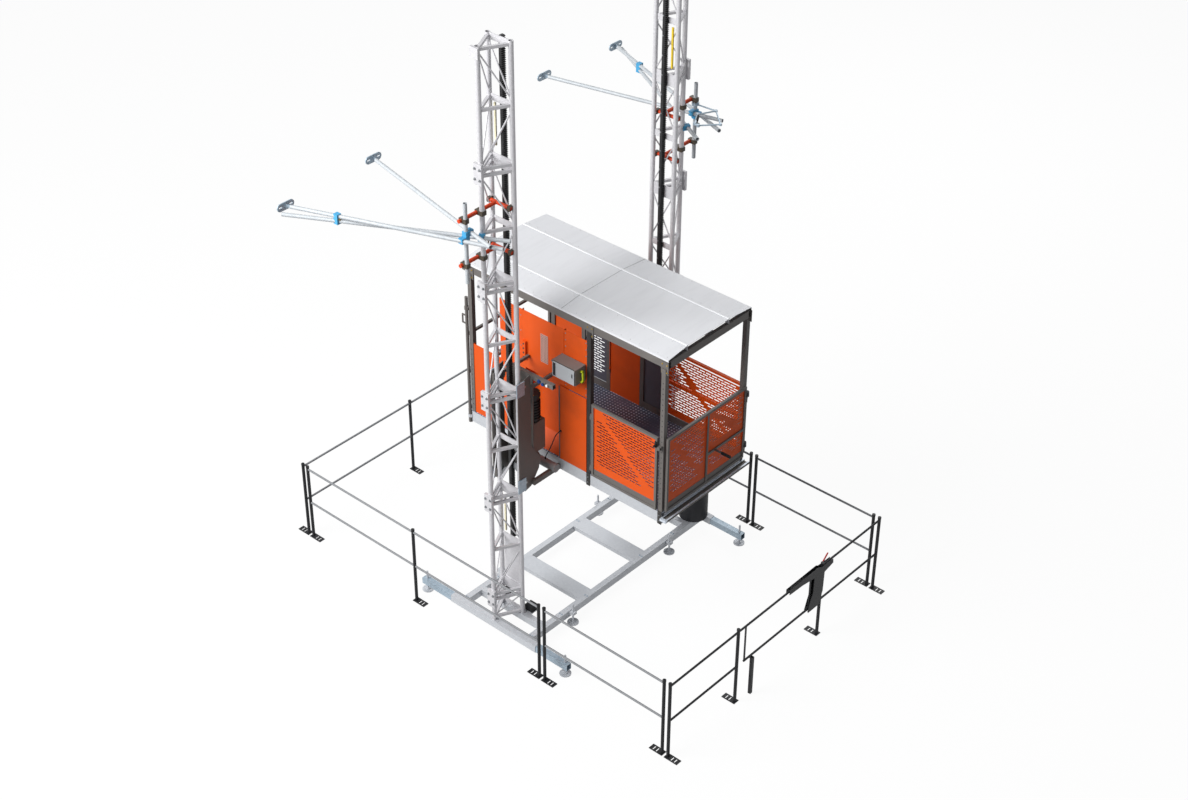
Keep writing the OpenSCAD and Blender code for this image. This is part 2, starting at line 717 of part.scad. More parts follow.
// Drop leg: a square tube beside the rails, so that it passes the latch post
drop_y = -475;
drop_w = 40;
drop_wall = 3;
drop_x = barrier_x + fence_post_d / 2 + 5;
drop_gap = 4;
drop_block = 20;
module barrier_arm() color(black) placed() {
  y_cyl([barrier_x, arm_lower_y0, rail_lower], fence_rail_d, arm_lower_y1 - arm_lower_y0);
  y_cyl([barrier_x, arm_y0, rail_upper], fence_rail_d, arm_y1 - arm_y0);
  for (y = arm_bars)
    box([barrier_x - arm_bar_t / 2, y - arm_bar_w / 2, rail_lower],
      [barrier_x + arm_bar_t / 2, y + arm_bar_w / 2, rail_upper]);
  for (q = spacers)
    x_cyl([barrier_x - bracket_gap + gap, q[0], q[1]], spacer_d, 2 * (bracket_gap - gap));
  tube_box([drop_x, drop_y - drop_w / 2, drop_gap], [drop_x + drop_w, drop_y + drop_w / 2, rail_lower + 20],
    2, drop_wall);
  box([barrier_x, drop_y - drop_block / 2, rail_lower - drop_block / 2],
    [drop_x + drop_wall / 2, drop_y + drop_block / 2, rail_lower + drop_block / 2]);
}
module barrier_lever() color(tie_red) placed() {
  x = barrier_x - plate_out - gap - lever_hub_t;
  x_cyl([x, lever_y, lever_z], lever_hub, lever_hub_t);
  x_cyl([x + tiny, lever_y, lever_z], lever_pin, barrier_x - bracket_gap - x - tiny);
  translate([x + lever_hub_t / 2, lever_y, lever_z]) rotate([-lever_lean, 0, 0])
    cylinder(d = lever_rod, h = lever_l, $fn = 16);
}

// Platform
deck_t = 10;
side_beam_top = platform_z + side_beam_h;
deck_top = side_beam_top + deck_t;
roof_z = deck_top + headroom;
side_w = 60;
left_in = platform_left + side_w;
right_in = platform_right - side_w;
half_in = platform_half - side_w;
side_wall = 4;
joist_count = 5;
joist_w = 50;
joist_wall = 3;
joist_up = 40;
sill_w = 95;
sill_z = platform_z + 70;
sill_h = 30;
sill_t = 10;
sill_near = -platform_half - 40;
sill_far = platform_half + 20;
module side_beam(y) {
  tube_box([platform_left, y, platform_z], [platform_right, y + side_w, side_beam_top], 0, side_wall);
}
module floor_frame() color(galvanised) placed() {
  side_beam(-platform_half);
  side_beam(half_in);
  for (x = [platform_left, right_in])
    tube_box([x, -half_in + gap, platform_z], [x + side_w, half_in - gap, side_beam_top], 1, side_wall);
  for (i = [1:joist_count]) {
    x = left_in + i * (right_in - left_in) / (joist_count + 1);
    tube_box([x - joist_w / 2, -half_in + gap, platform_z + joist_up],
      [x + joist_w / 2, half_in - gap, side_beam_top - gap], 1, joist_wall);
  }
  // Lower eye of the grab post
  eye([left_hinge_x, left_hinge_y, platform_z + 60],
    [[left_hinge_x, left_hinge_y - 12], [platform_left + 2, left_hinge_y + 20]], grab_d, grab_d + 14);
  // Folded sill along the right end, a channel open at the top
  difference() {
    box([platform_right + gap, sill_near, sill_z], [platform_right + sill_w, sill_far, sill_z + sill_h]);
    box([platform_right + 2 * sill_t, sill_near - tiny, sill_z + sill_t],
      [platform_right + sill_w - sill_t, sill_far + tiny, sill_z + sill_h + tiny]);
  }
}
deck_colour = [0.36, 0.38, 0.45];
module floor_deck() {
  color(deck_colour) placed()
    box([platform_left, -platform_half, side_beam_top + gap], [platform_right, platform_half, deck_top]);
}

// Gates and hinge lines
gate_top = deck_top + gate_h;
tall_top = deck_top + tall_h;
panel_z = deck_top + gap;
tall_left = -720;
tall_right = 700;
hinge_x = tall_right + post_w + 22;
hinge_y = -platform_half - 12;
gate_right = platform_right - post_w - 14;
gate_tube = 32;
gate_z = deck_top + 12;
latch_z = gate_top - 120;
latch_x = gate_right - gate_tube / 2;
right_x = platform_right + 14;
right_hinge_x = platform_right + 32;
right_hinge_y = platform_half - 30;
left_hinge_x = platform_left - 32;
left_hinge_y = -platform_half - 2;
grab_d = 42;
grab_h = 1670;
grab_bottom = 2150;
eye_zs = [gate_z + 60, gate_top - 240];
door_hinge_x = -230;
door_hinge_y = platform_half - post_w - 8;

// Roof posts, named by their place along X
post_in = platform_half - post_w;
recess_left = -300;
recess_right = 270;
near_posts = [platform_left, tall_right, platform_right - post_w];
back_posts = [platform_left, -720, -290, 265, 620, platform_right - post_w];
post_wall = 4;
module post(x, y) tube_box([x, y, deck_top + gap], [x + post_w, y + post_w, roof_z - gap], 2, post_wall);
module roof_posts() {
  for (x = near_posts) post(x, -platform_half);
  for (x = back_posts) post(x, post_in);
}
toe_h = 100;
toe_t = 4;
// The service door fills this bay between two back posts
door_bay = 2;
module toe_boards() {
  for (i = [0:len(back_posts) - 2]) if (i != door_bay)
    box([back_posts[i] + post_w + gap, post_in + toe_t, deck_top + gap],
      [back_posts[i + 1] - gap, post_in + 2 * toe_t, deck_top + toe_h]);
}
// Roof: edge beams, cross bows and three sheets in two halves
roof_left = -1354;
roof_right = 1917;
roof_half = 756;
roof_top = roof_z + roof_beam_h;
roof_beam_w = 50;
sheet_edge = 28;
crown = 40;
fold_near = -421;
fold_far = 333;
roof_beam_wall = 3;
bow_x = 290;
module roof_edge(y) {
  tube_box([roof_left, y, roof_z], [roof_right, y + roof_beam_w, roof_top], 0, roof_beam_wall);
}
module roof_beams() {
  half = roof_half - roof_beam_w;
  roof_edge(-roof_half);
  roof_edge(half);
  for (x = [roof_left, bow_x, roof_right - roof_beam_w])
    tube_box([x, -half + gap, roof_z], [x + roof_beam_w, half - gap, roof_top], 1, roof_beam_wall);
}
roof_mid_x = (roof_left + roof_right) / 2;
// A strip is a folded sheet with a lip down each side
roof_lip_t = 3;
roof_sheet_t = 4;
roof_colour = [0.82, 0.82, 0.84];
module roof_strip(x0, x1, y0, y1, rise0, rise1) translate([x0, 0, roof_top + gap]) rotate([90, 0, 90])
  linear_extrude(x1 - x0) difference() {
    polygon([[y0, 0], [y1, 0], [y1, sheet_edge + rise1], [y0, sheet_edge + rise0]]);
    polygon([[y0 + roof_lip_t, -tiny], [y1 - roof_lip_t, -tiny],
      [y1 - roof_lip_t, sheet_edge + rise1 - roof_sheet_t],
      [y0 + roof_lip_t, sheet_edge + rise0 - roof_sheet_t]]);
  }
module roof_sheets() color(roof_colour) placed()
  for (span = [[roof_left, roof_mid_x - gap / 2], [roof_mid_x + gap / 2, roof_right]]) {
    roof_strip(span[0], span[1], -roof_half, fold_near - gap / 2, 0, crown);
    roof_strip(span[0], span[1], fold_near + gap / 2, fold_far - gap / 2, crown, crown);
    roof_strip(span[0], span[1], fold_far + gap / 2, roof_half, crown, 0);
  }

// Round eye that holds an upright pin beside a post, with its neck
eye_d = 22;
eye_h = 44;
module eye(at, neck, d, w) difference() {
  union() {
    translate(at) cylinder(d = w, h = eye_h, $fn = 32);
    box([min(neck[0][0], neck[1][0]), min(neck[0][1], neck[1][1]), at[2]],
      [max(neck[0][0], neck[1][0]), max(neck[0][1], neck[1][1]), at[2] + eye_h]);
  }
  translate([at[0], at[1], at[2] - tiny]) cylinder(d = d + 2 * shaft_gap, h = eye_h + 2 * tiny, $fn = 32);
}
pin_d = 14;
door_pin_d = 10;
door_eyes = [panel_z + 300, tall_top - 400];
module hinge_eyes() {
  for (z = eye_zs) {
    eye([hinge_x, hinge_y, z],
      [[tall_right + post_w - 2, hinge_y - 3], [hinge_x, -platform_half + 12]], pin_d, eye_d);
    eye([right_hinge_x, right_hinge_y, z],
      [[platform_right - 2, right_hinge_y - 3], [right_hinge_x, right_hinge_y + 11]], pin_d, eye_d + 3);
  }
  for (z = door_eyes) eye([door_hinge_x, door_hinge_y, z],
    [[back_posts[2] + 20, door_hinge_y - 4], [door_hinge_x, post_in + 2]], door_pin_d, door_pin_d + 8);
  eye([left_hinge_x, left_hinge_y, gate_z + grab_h - 180],
    [[left_hinge_x, left_hinge_y - 12], [platform_left + 2, left_hinge_y + 14]], grab_d, grab_d + 14);
}
// Keeper that takes the gate latch: a block on the post, a bottom plate and an outer plate
keeper_x = platform_right - post_w + 6;
keeper_w = 40;
keeper_low = latch_z - 25;
keeper_top = latch_z + 22;
keeper_floor = latch_z - 14;
keeper_in = hinge_y - 16;
keeper_out = hinge_y - 42;
keeper_t = 8;
module latch_keeper() {
  box([keeper_x, keeper_in, keeper_low], [keeper_x + keeper_w, -platform_half - gap, keeper_top]);
  box([keeper_x, keeper_out, keeper_low], [keeper_x + keeper_w, keeper_in - gap, keeper_floor]);
  box([keeper_x, keeper_out, keeper_floor + gap], [keeper_x + keeper_w, keeper_out + keeper_t, keeper_top]);
}
module cage_frame() color(taupe) placed() {
  difference() {
    roof_posts();
    // Holes for the hinge pins, where a post is in their way
    for (q = [[hinge_x, hinge_y, pin_d], [door_hinge_x, door_hinge_y, door_pin_d]])
      translate([q[0], q[1], deck_top]) cylinder(d = q[2] + 2 * shaft_gap, h = headroom, $fn = 32);
  }
  toe_boards();
  roof_beams();
  hinge_eyes();
  latch_keeper();
}

// Orange sheet panels
lower_top = deck_top + 1085;
fold_1 = -347;
fold_2 = 332;
recess_y = -620;
flange = 35;
panel_set = 8;
back_set = 40;
slope_h = 200;
module sheet(x0, x1, z0, z1, y) {
  box([x0 + gap, y, z0], [x1 - gap, y + sheet_t, z1]);
  // Folded edges
  box([x0 + gap, y, z0], [x0 + gap + sheet_t, y + flange, z1]);
  box([x1 - gap - sheet_t, y, z0], [x1 - gap, y + flange, z1]);
}
module recess() {
  y = -platform_half + panel_set;
  high = lower_top - gap;
  box([recess_left, recess_y, panel_z], [recess_right - gap, recess_y + sheet_t, high]);
  box([fold_1 + gap, y, panel_z], [recess_left - gap, y + sheet_t, high]);
  box([recess_left - sheet_t, y + sheet_t + gap, panel_z], [recess_left - gap, recess_y, high]);
  box([recess_right + gap, flange - platform_half, panel_z], [recess_right + gap + sheet_t, recess_y, high]);
  box([recess_left, flange - platform_half, high - sheet_t], [recess_right - gap, recess_y - gap, high]);
  // Sloping floor
  translate([recess_left, 0, panel_z]) rotate([90, 0, 90]) linear_extrude(recess_right - recess_left - gap)
    polygon([[y + 4, 0], [recess_y - gap, slope_h], [recess_y - gap, slope_h + 6], [y, 4]]);
}
module solid_panels() color(orange) placed() {
  y = -platform_half + panel_set;
  sheet(platform_left + post_w, tall_left, panel_z, gate_top - 30, y);
  sheet(tall_left, fold_1, panel_z, tall_top, y);
  sheet(fold_1, fold_2, lower_top + gap, tall_top, y);
  sheet(fold_2, tall_right, lower_top + gap, tall_top, y);
  sheet(recess_right + gap, tall_right, panel_z, lower_top, -platform_half - panel_set);
  recess();
  // Back wall
  back = platform_half - back_set;
  sheet(back_posts[0] + post_w, back_posts[1], panel_z, tall_top, back);
  sheet(back_posts[3] + post_w, back_posts[4], panel_z, tall_top, back);
}
// Panels with rows of slots
slot_h = 16;
slot_row = 36;
slot_len = 80;
slot_step = 96;
slot_edge = 45;
slot_shift = slot_step / 2;
slot_stop = 15;
slot_first = 3;
// Each second row is shifted, and a plain band runs along the diagonal where a brace stiffens the sheet
module slotted(w, h, brace) difference() {
  square([w, h]);
  rows = floor(h / slot_row) - 1;
  columns = floor((w - slot_edge - slot_stop) / slot_step) - 1;
  for (r = [slot_first:rows]) for (c = [0:columns]) {
    z = r * slot_row;
    x = slot_edge + c * slot_step + (r % 2) * slot_shift;
    clear = abs(x + slot_len / 2 - w * (1 - z / h)) > brace && x + slot_len < w - slot_stop;
    if (clear) translate([x, z]) square([slot_len, slot_h]);
  }
}
back_rail_h = 35;
back_rail_zs = [gate_top - 45, deck_top + 560];
// Slotted sheet in the bay of the back wall to the right of post i
module back_mesh(i, h, brace) {
  x = back_posts[i] + post_w + gap;
  w = back_posts[i + 1] - gap - x;
  translate([x, platform_half - back_set, deck_top + toe_h + gap]) rotate([90, 0, 0])
    linear_extrude(sheet_t) slotted(w, h, brace);
}
module mesh_panels() color(orange) placed() {
  back_mesh(4, gate_h - toe_h - 60, 50);
  back_mesh(1, tall_h - toe_h, 0);
  for (z = back_rail_zs)
    box([back_posts[4] + post_w + gap, platform_half - back_set + gap, z],
      [back_posts[5] - gap, platform_half - 5, z + back_rail_h]);
}

// Drive frame: two side plates that straddle the rack face legs, and the machine plate between them
drive_top = drive_z + drive_h;
side_x = leg_half + leg_d / 2 + 14;
side_t = 10;
side_out = side_x + side_t;
plate_y = -1195;
machine_t = 15;
machine_low = drive_z + 120;
hanger_back = plate_y - 45;
pinion_r = rack_module * pinion_teeth / 2;
pinion_x = pitch_x + pinion_r;
// Pinion centres sit level with the middle of a rack tooth, so the teeth are in mesh
function mesh_z(z) = rack_z + (round((z - rack_z) / pitch - 0.5) + 0.5) * pitch;
pinion_up = 595;
safety_up = 295;
pinion_z = mesh_z(drive_z + pinion_up);
safety_z = mesh_z(drive_z + safety_up);
roller_r = roller_d / 2;
groove_r = leg_d / 2 + gap;
roller_roll = 35;
roller_y = -mast_y + leg_d / 2 + roller_roll;
upper_roller_z = drive_top - 130;
lower_roller_z = drive_z + 120;
module side_plate(x) translate([x, 0, 0]) rotate([90, 0, 90]) linear_extrude(side_t) difference() {
  polygon([[-mast_y - 60, drive_z + 170], [-mast_y + 40, drive_z], [plate_y - 55, drive_z + 30],
    [plate_y + 85, drive_z + 230], [plate_y + 105, drive_z + 390], [hanger_back, drive_z + 620],
    [hanger_back, drive_top], [-mast_y - 60, drive_top - 60]]);
  for (z = [lower_roller_z, upper_roller_z])
    translate([roller_y, z]) circle(d = shaft_d + 2 * shaft_gap, $fn = 32);
}
hanger_z = drive_z + 45;
hanger_w = 44;
hanger_h = 70;
hanger_y = -platform_half - gap;
stay_z = drive_top - 190;
stay_w = 30;
stay_h = 40;
// Shoes behind the legs
shoe_in = leg_half + 10;
shoe_h = 120;
shoe_t = 14;
shoe_y = -mast_y - leg_d / 2 - 1;
// Cross bar on the machine plate, with the switch housing at its long end
bar_top = drive_top - 20;
bar_low = drive_top - 80;
bar_end = 560;
bar_wall = 4;
bar_front = plate_y - 20;
bar_back = plate_y + 30;
housing_half_w = 30;
housing_front = plate_y - 32;
housing_back = plate_y - 10;
button_at = [420, plate_y - 20, (bar_top + bar_low) / 2];
button_stem = 20;
torque_tube_d = 115;
torque_tube_y = -880;
torque_tube_z = hanger_z + 78;
torque_tube_half = side_out + 78;
module drive_side(s) mirror([s > 0 ? 0 : 1, 0, 0]) {
  side_plate(side_x);
  // Hanger and stay to the platform
  box([side_out + gap, hanger_back, hanger_z], [side_out + gap + hanger_w, hanger_y, hanger_z + hanger_h]);
  box([side_out + gap, hanger_back, stay_z], [side_out + gap + stay_w, hanger_y, stay_z + stay_h]);
  for (z = [lower_roller_z, upper_roller_z])
    box([shoe_in, shoe_y - shoe_t, z - shoe_h / 2], [side_x - gap, shoe_y, z + shoe_h / 2]);
}
module machine_plate() difference() {
  box([-side_x + gap, plate_y, machine_low], [side_x - gap, plate_y + machine_t, bar_low - gap]);
  for (z = [pinion_z, safety_z])
    y_cyl([pinion_x, plate_y - tiny, z], shaft_d + 2 * shaft_gap, machine_t + 2 * tiny);
}
module cross_bar_with_switch() difference() {
  union() {
    tube_box([-side_x + gap, bar_front, bar_low], [bar_end, bar_back, bar_top], 0, bar_wall);
    box([button_at[0] - housing_half_w, housing_front, bar_low],
      [button_at[0] + housing_half_w, housing_back, bar_top]);
  }
  y_cyl([button_at[0], bar_front - button_stem, button_at[2]], button_stem + 2 * shaft_gap, 3 * button_stem);
}
module drive_frames() color(taupe) placed() both_sides() {
  for (s = [-1, 1]) drive_side(s);
  machine_plate();
  cross_bar_with_switch();
  x_cyl([-torque_tube_half, torque_tube_y, torque_tube_z], torque_tube_d, 2 * torque_tube_half);
}

// Gearbox behind the machine plate, and the safety device below it
box_back = plate_y + machine_t + gap;
gearbox_left = 75;
gearbox_right = 95;
gearbox_low = 170;
gearbox_high = 260;
gearbox_l = 230;
safety_d = 190;
safety_l = 150;
shaft_in = 50;
gearbox_grey = [0.5, 0.5, 0.52];
module gearboxes() color(gearbox_grey) placed() both_sides() difference() {
  union() {
    box([pinion_x - gearbox_left, box_back, pinion_z - gearbox_low],
      [pinion_x + gearbox_right, box_back + gearbox_l, pinion_z + gearbox_high]);
    y_cyl([pinion_x, box_back, safety_z], safety_d, safety_l);
  }
  for (z = [pinion_z, safety_z])
    y_cyl([pinion_x, box_back - tiny, z], shaft_d + 2 * shaft_gap, shaft_in + 10);
}
motor_h = 400;
motor_z = pinion_z + gearbox_high + gap;
motor_core_d = motor_d - 30;
motor_fins = 7;
fin_pitch = 40;
fin_t = 16;
motor_cap_h = 50;
module motor() {
  cylinder(d = motor_core_d, h = motor_h, $fn = 48);
  for (i = [1:motor_fins]) translate([0, 0, i * fin_pitch]) cylinder(d = motor_d, h = fin_t, $fn = 48);
  translate([0, 0, motor_h - motor_cap_h]) cylinder(d = motor_d, h = motor_cap_h, $fn = 48);
}
module drive_motors() {
  x = pinion_x + (gearbox_right - gearbox_left) / 2;
  color(black) placed() both_sides() translate([x, box_back + gearbox_l / 2, motor_z]) motor();
}

// Involute pinion, cut back a little so that it runs free in the rack
function inv_angle(r, rb) = let (a = acos(min(1, rb / r))) tan(a) * 180 / PI - a;
module pinion_profile() {
  rb = pinion_r * cos(20);
  ro = pinion_r + rack_addendum;
  rr = pinion_r - 1.1 * rack_module;
  half = 90 / pinion_teeth - backlash / 4 / pinion_r * 180 / PI;
  steps = 6;
  flank_a = [for (i = [0:steps]) let (r = max(rb, rr) + (ro - max(rb, rr)) * i / steps)
    [r, half + inv_angle(pinion_r, rb) - inv_angle(r, rb)]];
  points = [for (t = [0:pinion_teeth - 1]) let (c = (t + 0.5) * 360 / pinion_teeth + 180) each concat(
    [[rr * cos(c - flank_a[0][1]), rr * sin(c - flank_a[0][1])]],
    [for (p = flank_a) [p[0] * cos(c - p[1]), p[0] * sin(c - p[1])]],
    [for (i = [steps:-1:0]) let (p = flank_a[i]) [p[0] * cos(c + p[1]), p[0] * sin(c + p[1])]],
    [[rr * cos(c + flank_a[0][1]), rr * sin(c + flank_a[0][1])]])];
  polygon(points);
}
pinion_w = 28;
pinion_back = rack_y + rack_depth - 4;
steel = [0.55, 0.55, 0.57];
module pinion(z) translate([pinion_x, 0, z]) {
  translate([0, pinion_back, 0]) rotate([90, 0, 0]) linear_extrude(pinion_w) pinion_profile();
  y_cyl([0, pinion_back, 0], shaft_d, box_back + shaft_in - pinion_back);
}
module near_pinion() color(steel) placed() on_side(false) pinion(pinion_z);
module far_pinion() color(steel) placed() on_side(true) pinion(pinion_z);
module near_safety_pinion() color(steel) placed() on_side(false) pinion(safety_z);
module far_safety_pinion() color(steel) placed() on_side(true) pinion(safety_z);

// Grooved guide rollers on stub axles in the side plates
roller_half = 27;
module roller(z) for (s = [-1, 1]) {
  translate([s * leg_half, roller_y, z]) rotate([0, 90, 0]) rotate_extrude($fn = 48) difference() {
    translate([0, -roller_half]) square([roller_r, 2 * roller_half]);
    translate([leg_d / 2 + roller_roll, 0]) circle(r = groove_r, $fn = 48);
  }
  axle_l = side_out - leg_half - roller_half;
  x_cyl([s > 0 ? leg_half + roller_half : -side_out, roller_y, z], shaft_d, axle_l);
}
module near_upper_rollers() color(galvanised) placed() on_side(false) roller(upper_roller_z);
module near_lower_rollers() color(galvanised) placed() on_side(false) roller(lower_roller_z);
module far_upper_rollers() color(galvanised) placed() on_side(true) roller(upper_roller_z);
module far_lower_rollers() color(galvanised) placed() on_side(true) roller(lower_roller_z);
// Bearing plates outside the side plates
bracket_plate_t = 12;
bracket_plate_h = 190;
bracket_front = 85;
bracket_back = 45;
module roller_brackets() color(blued) placed() both_sides() {
  for (s = [-1, 1]) for (z = [lower_roller_z, upper_roller_z]) {
    x = s * (side_out + gap + bracket_plate_t / 2);
    box([x - bracket_plate_t / 2, -mast_y - bracket_front, z - bracket_plate_h / 2],
      [x + bracket_plate_t / 2, -mast_y + bracket_back, z + bracket_plate_h / 2]);
  }
}

// Front gate, hinged at its left stile
kick_h = 110;
gate_half = gate_tube / 2;
arm_up = 46;
pin_over = 90;
latch_pin = 12;
module gate_panel(w, h) linear_extrude(sheet_t) slotted(w, h, 60);
// Upright hinge pin with the arms that carry the gate
module gate_pin(z0, z1, arms, d, reach) {
  translate([0, 0, z0]) cylinder(d = d, h = z1 - z0, $fn = 32);
  for (z = arms) box([-d / 2 - 3, -d / 2 - 3, z], [reach, d / 2 + 3, z + 40]);
}
module front_gate() placed() {
  left = hinge_x + 16;
  color(taupe) difference() {
    union() {
      for (z = [gate_z, gate_top - gate_tube])
        box([left, hinge_y - gate_half, z], [gate_right, hinge_y + gate_half, z + gate_tube]);
      for (x = [left, gate_right - gate_tube])
        box([x, hinge_y - gate_half, gate_z], [x + gate_tube, hinge_y + gate_half, gate_top]);
      box([left, hinge_y - 4, gate_z], [gate_right, hinge_y + 4, gate_z + kick_h]);
      translate([hinge_x, hinge_y, 0])
        gate_pin(eye_zs[0] - 4, eye_zs[1] + pin_over, [for (z = eye_zs) z + arm_up], pin_d, 20);
    }
    y_cyl([latch_x, hinge_y - 40, latch_z], latch_pin + 2 * shaft_gap, 60);
  }
  color(orange)
    translate([left + gate_tube + gap, hinge_y + sheet_t / 2, gate_z + kick_h + gap]) rotate([90, 0, 0])
    gate_panel(gate_right - left - 2 * gate_tube - 2 * gap, gate_top - gate_z - kick_h - gate_tube - 2 * gap);
}
// Turn latch on the free stile, drawn raised: it drops into the fork on the post
latch_w = 24;
latch_l = 70;
latch_front = hinge_y - 31;
latch_back = hinge_y - 19;
latch_tab = [8, 26];
module gate_latch() color(black) placed() {
  y_cyl([latch_x, hinge_y - 34, latch_z], latch_pin, 44);
  box([latch_x - latch_w / 2, latch_front, latch_z - latch_w / 2],
    [latch_x + latch_w / 2, latch_back, latch_z + latch_l]);
  // Finger tab
  box([latch_x - latch_w / 2, hinge_y - 60, latch_z + latch_tab[0]],
    [latch_x + latch_w / 2, latch_front + 1, latch_z + latch_tab[1]]);
}

// Right end gate, hinged on the far corner post, with a mid stile and a handle bar
right_near_y = -platform_half + 30;
right_far_y = right_hinge_y - 18;
mid_rail_z = gate_z + 415;
handle_y = 150;
handle_d = 28;
handle_l = 230;
// Slotted sheet between two uprights and two heights of the gate
module right_sheet(y0, y1, z0, z1) {
  translate([right_x + 14, y0 + gap, z0 + gap]) rotate([90, 0, 90])
    gate_panel(y1 - y0 - 2 * gap, z1 - z0 - 2 * gap);
}
module right_gate() placed() {
  color(taupe) {
    for (z = [gate_z, gate_top - gate_tube])
      box([right_x, right_near_y, z], [right_x + gate_tube, right_far_y, z + gate_tube]);
    for (y = [right_near_y, -gate_half, right_far_y - gate_tube])
      box([right_x, y, gate_z], [right_x + gate_tube, y + gate_tube, gate_top]);
    box([right_x + 12, right_near_y, gate_z], [right_x + 20, right_far_y, gate_z + kick_h]);
    translate([right_hinge_x, right_hinge_y, 0]) rotate([0, 0, -90])
      gate_pin(eye_zs[0] - 4, eye_zs[1] + pin_over, [for (z = eye_zs) z + arm_up], pin_d, 22);
    box([right_x, -gate_half, mid_rail_z], [right_x + gate_tube, right_far_y, mid_rail_z + gate_tube]);
    x_cyl([right_x + gate_tube - 2, handle_y, mid_rail_z + gate_half], handle_d, handle_l + 2);
  }
  color(orange) {
    right_sheet(right_near_y + gate_tube, -gate_half, gate_z + kick_h, gate_top - gate_tube);
    right_sheet(gate_half, right_far_y - gate_tube, gate_z + kick_h, mid_rail_z);
    right_sheet(gate_half, right_far_y - gate_tube, mid_rail_z + gate_tube, gate_top - gate_tube);
  }
}
// Left end gate, hinged on its tall grab post
left_gate_top = gate_top + 90;
left_rail_z = deck_top + 560;
grab_handle_z = gate_z + grab_h - 400;
grab_handle_l = 130;
grab_handle_out = 80;
grab_handle_t = 14;
module left_gate() placed() color(taupe) {
  x = left_hinge_x - gate_half;
  far = platform_half - 40;
  for (z = [gate_z, left_rail_z, left_gate_top - gate_tube])
    box([x, left_hinge_y + 10, z], [x + gate_tube, far, z + gate_tube]);
  box([x, far - gate_tube, gate_z], [x + gate_tube, far, left_gate_top]);
  translate([left_hinge_x, left_hinge_y, grab_bottom])
    cylinder(d = grab_d, h = gate_z + grab_h - grab_bottom, $fn = 32);
  // Handle on the grab post
  translate([left_hinge_x, left_hinge_y, grab_handle_z]) {
    box([-grab_handle_out, -8, 0], [grab_handle_t - grab_handle_out, 8, grab_handle_l]);
    for (z = [0, grab_handle_l - grab_handle_t])
      box([4 - grab_handle_out, -8, z], [-10, 8, z + grab_handle_t]);
  }
}

// Service door in the back wall, in front of the far drive unit
door_gap = 4;
door_right = back_posts[3] - door_gap;
door_flange = 25;
door_arm_h = 40;
door_handle_l = 100;
door_handle_z = deck_top + 1050;
module service_door() placed() color(orange) {
  x = door_hinge_x + door_gap;
  y = door_hinge_y + 10;
  z0 = panel_z + door_gap;
  box([x, y, z0], [door_right, y + sheet_t, tall_top]);
  for (e = [x, door_right - sheet_t]) box([e, y, z0], [e + sheet_t, y + door_flange, tall_top]);
  // Hinge pin with the arms that carry the door
  pin_z = door_eyes[0] - 6;
  translate([door_hinge_x, door_hinge_y, pin_z])
    cylinder(d = door_pin_d, h = door_eyes[1] + eye_h + 6 - pin_z, $fn = 32);
  for (z = door_eyes) translate([door_hinge_x, door_hinge_y, z + eye_h + 2]) {
    box([-5, -5, 0], [8, 5, door_arm_h]);
    box([door_gap, -5, 0], [8, 11, door_arm_h]);
  }
  box([door_right - 30 - door_handle_l, y - 30, door_handle_z], [door_right - 30, y + 1, door_handle_z + 16]);
}

// Control cabinet on the tall panels, with its door, and the stop button
cab_w = 370;
cab_h = 220;
cab_d = 176;
cab_low = [310, -platform_half - 2 - gap - cab_d, 3680];
cab_high = cab_low + [cab_w, cab_d, cab_h];
cab_wall = 3;
cab_pin = 8;
cab_lug = 18;
cab_lug_h = 10;
cab_ear = 40;
// Y and z of the pin along the top edge: the door is a flap that opens upwards
cab_hinge = [cab_low[1] - 7, cab_high[2] - 12];
cabinet_grey = [0.45, 0.44, 0.43];
door_grey = [0.72, 0.74, 0.76];
button_blue = [0.15, 0.45, 0.75];
module control_cabinet() color(cabinet_grey) placed() difference() {
  union() {
    difference() {
      box(cab_low, cab_high);
      box(cab_low + [cab_wall, -tiny, cab_wall], cab_high - [cab_wall, cab_wall, cab_wall]);
    }
    // Ears that hang the cabinet on the panel, and lugs for the door pin
    for (x = [cab_low[0] + 20, cab_high[0] - 20 - cab_ear])
      box([x, cab_high[1] - 1, cab_low[2] + 60],
        [x + cab_ear, -platform_half + panel_set - gap, cab_low[2] + 60 + cab_ear]);
    for (x = [cab_low[0], cab_high[0] - cab_lug_h])
      box([x, cab_hinge[0] - cab_lug / 2, cab_hinge[1] - cab_lug / 2],
        [x + cab_lug_h, cab_low[1] + 1, cab_hinge[1] + cab_lug / 2]);
  }
  x_cyl([cab_low[0] - tiny, cab_hinge[0], cab_hinge[1]], cab_pin + 2 * shaft_gap, cab_w + 2 * tiny);
}
module cabinet_door() color(door_grey) placed() {
  box([cab_low[0] + cab_lug_h + 2, cab_hinge[0] - cab_pin / 2, cab_low[2] + 6],
    [cab_high[0] - cab_lug_h - 2, cab_hinge[0] + cab_pin / 2, cab_hinge[1]]);
  x_cyl([cab_low[0] + 1, cab_hinge[0], cab_hinge[1]], cab_pin, cab_w - 2);
  // Handle
  box([cab_high[0] - 60, cab_hinge[0] - 22, cab_high[2] - 110],
    [cab_high[0] - 42, cab_hinge[0] - 3, cab_high[2] - 60]);
}
button_d = 40;
button_h = 14;
module stop_button() color(button_blue) placed() translate(button_at) rotate([90, 0, 0]) {
  cylinder(d = button_stem, h = button_stem, $fn = 32);
  translate([0, 0, button_stem]) cylinder(d = button_d, h = button_h, $fn = 32);
}
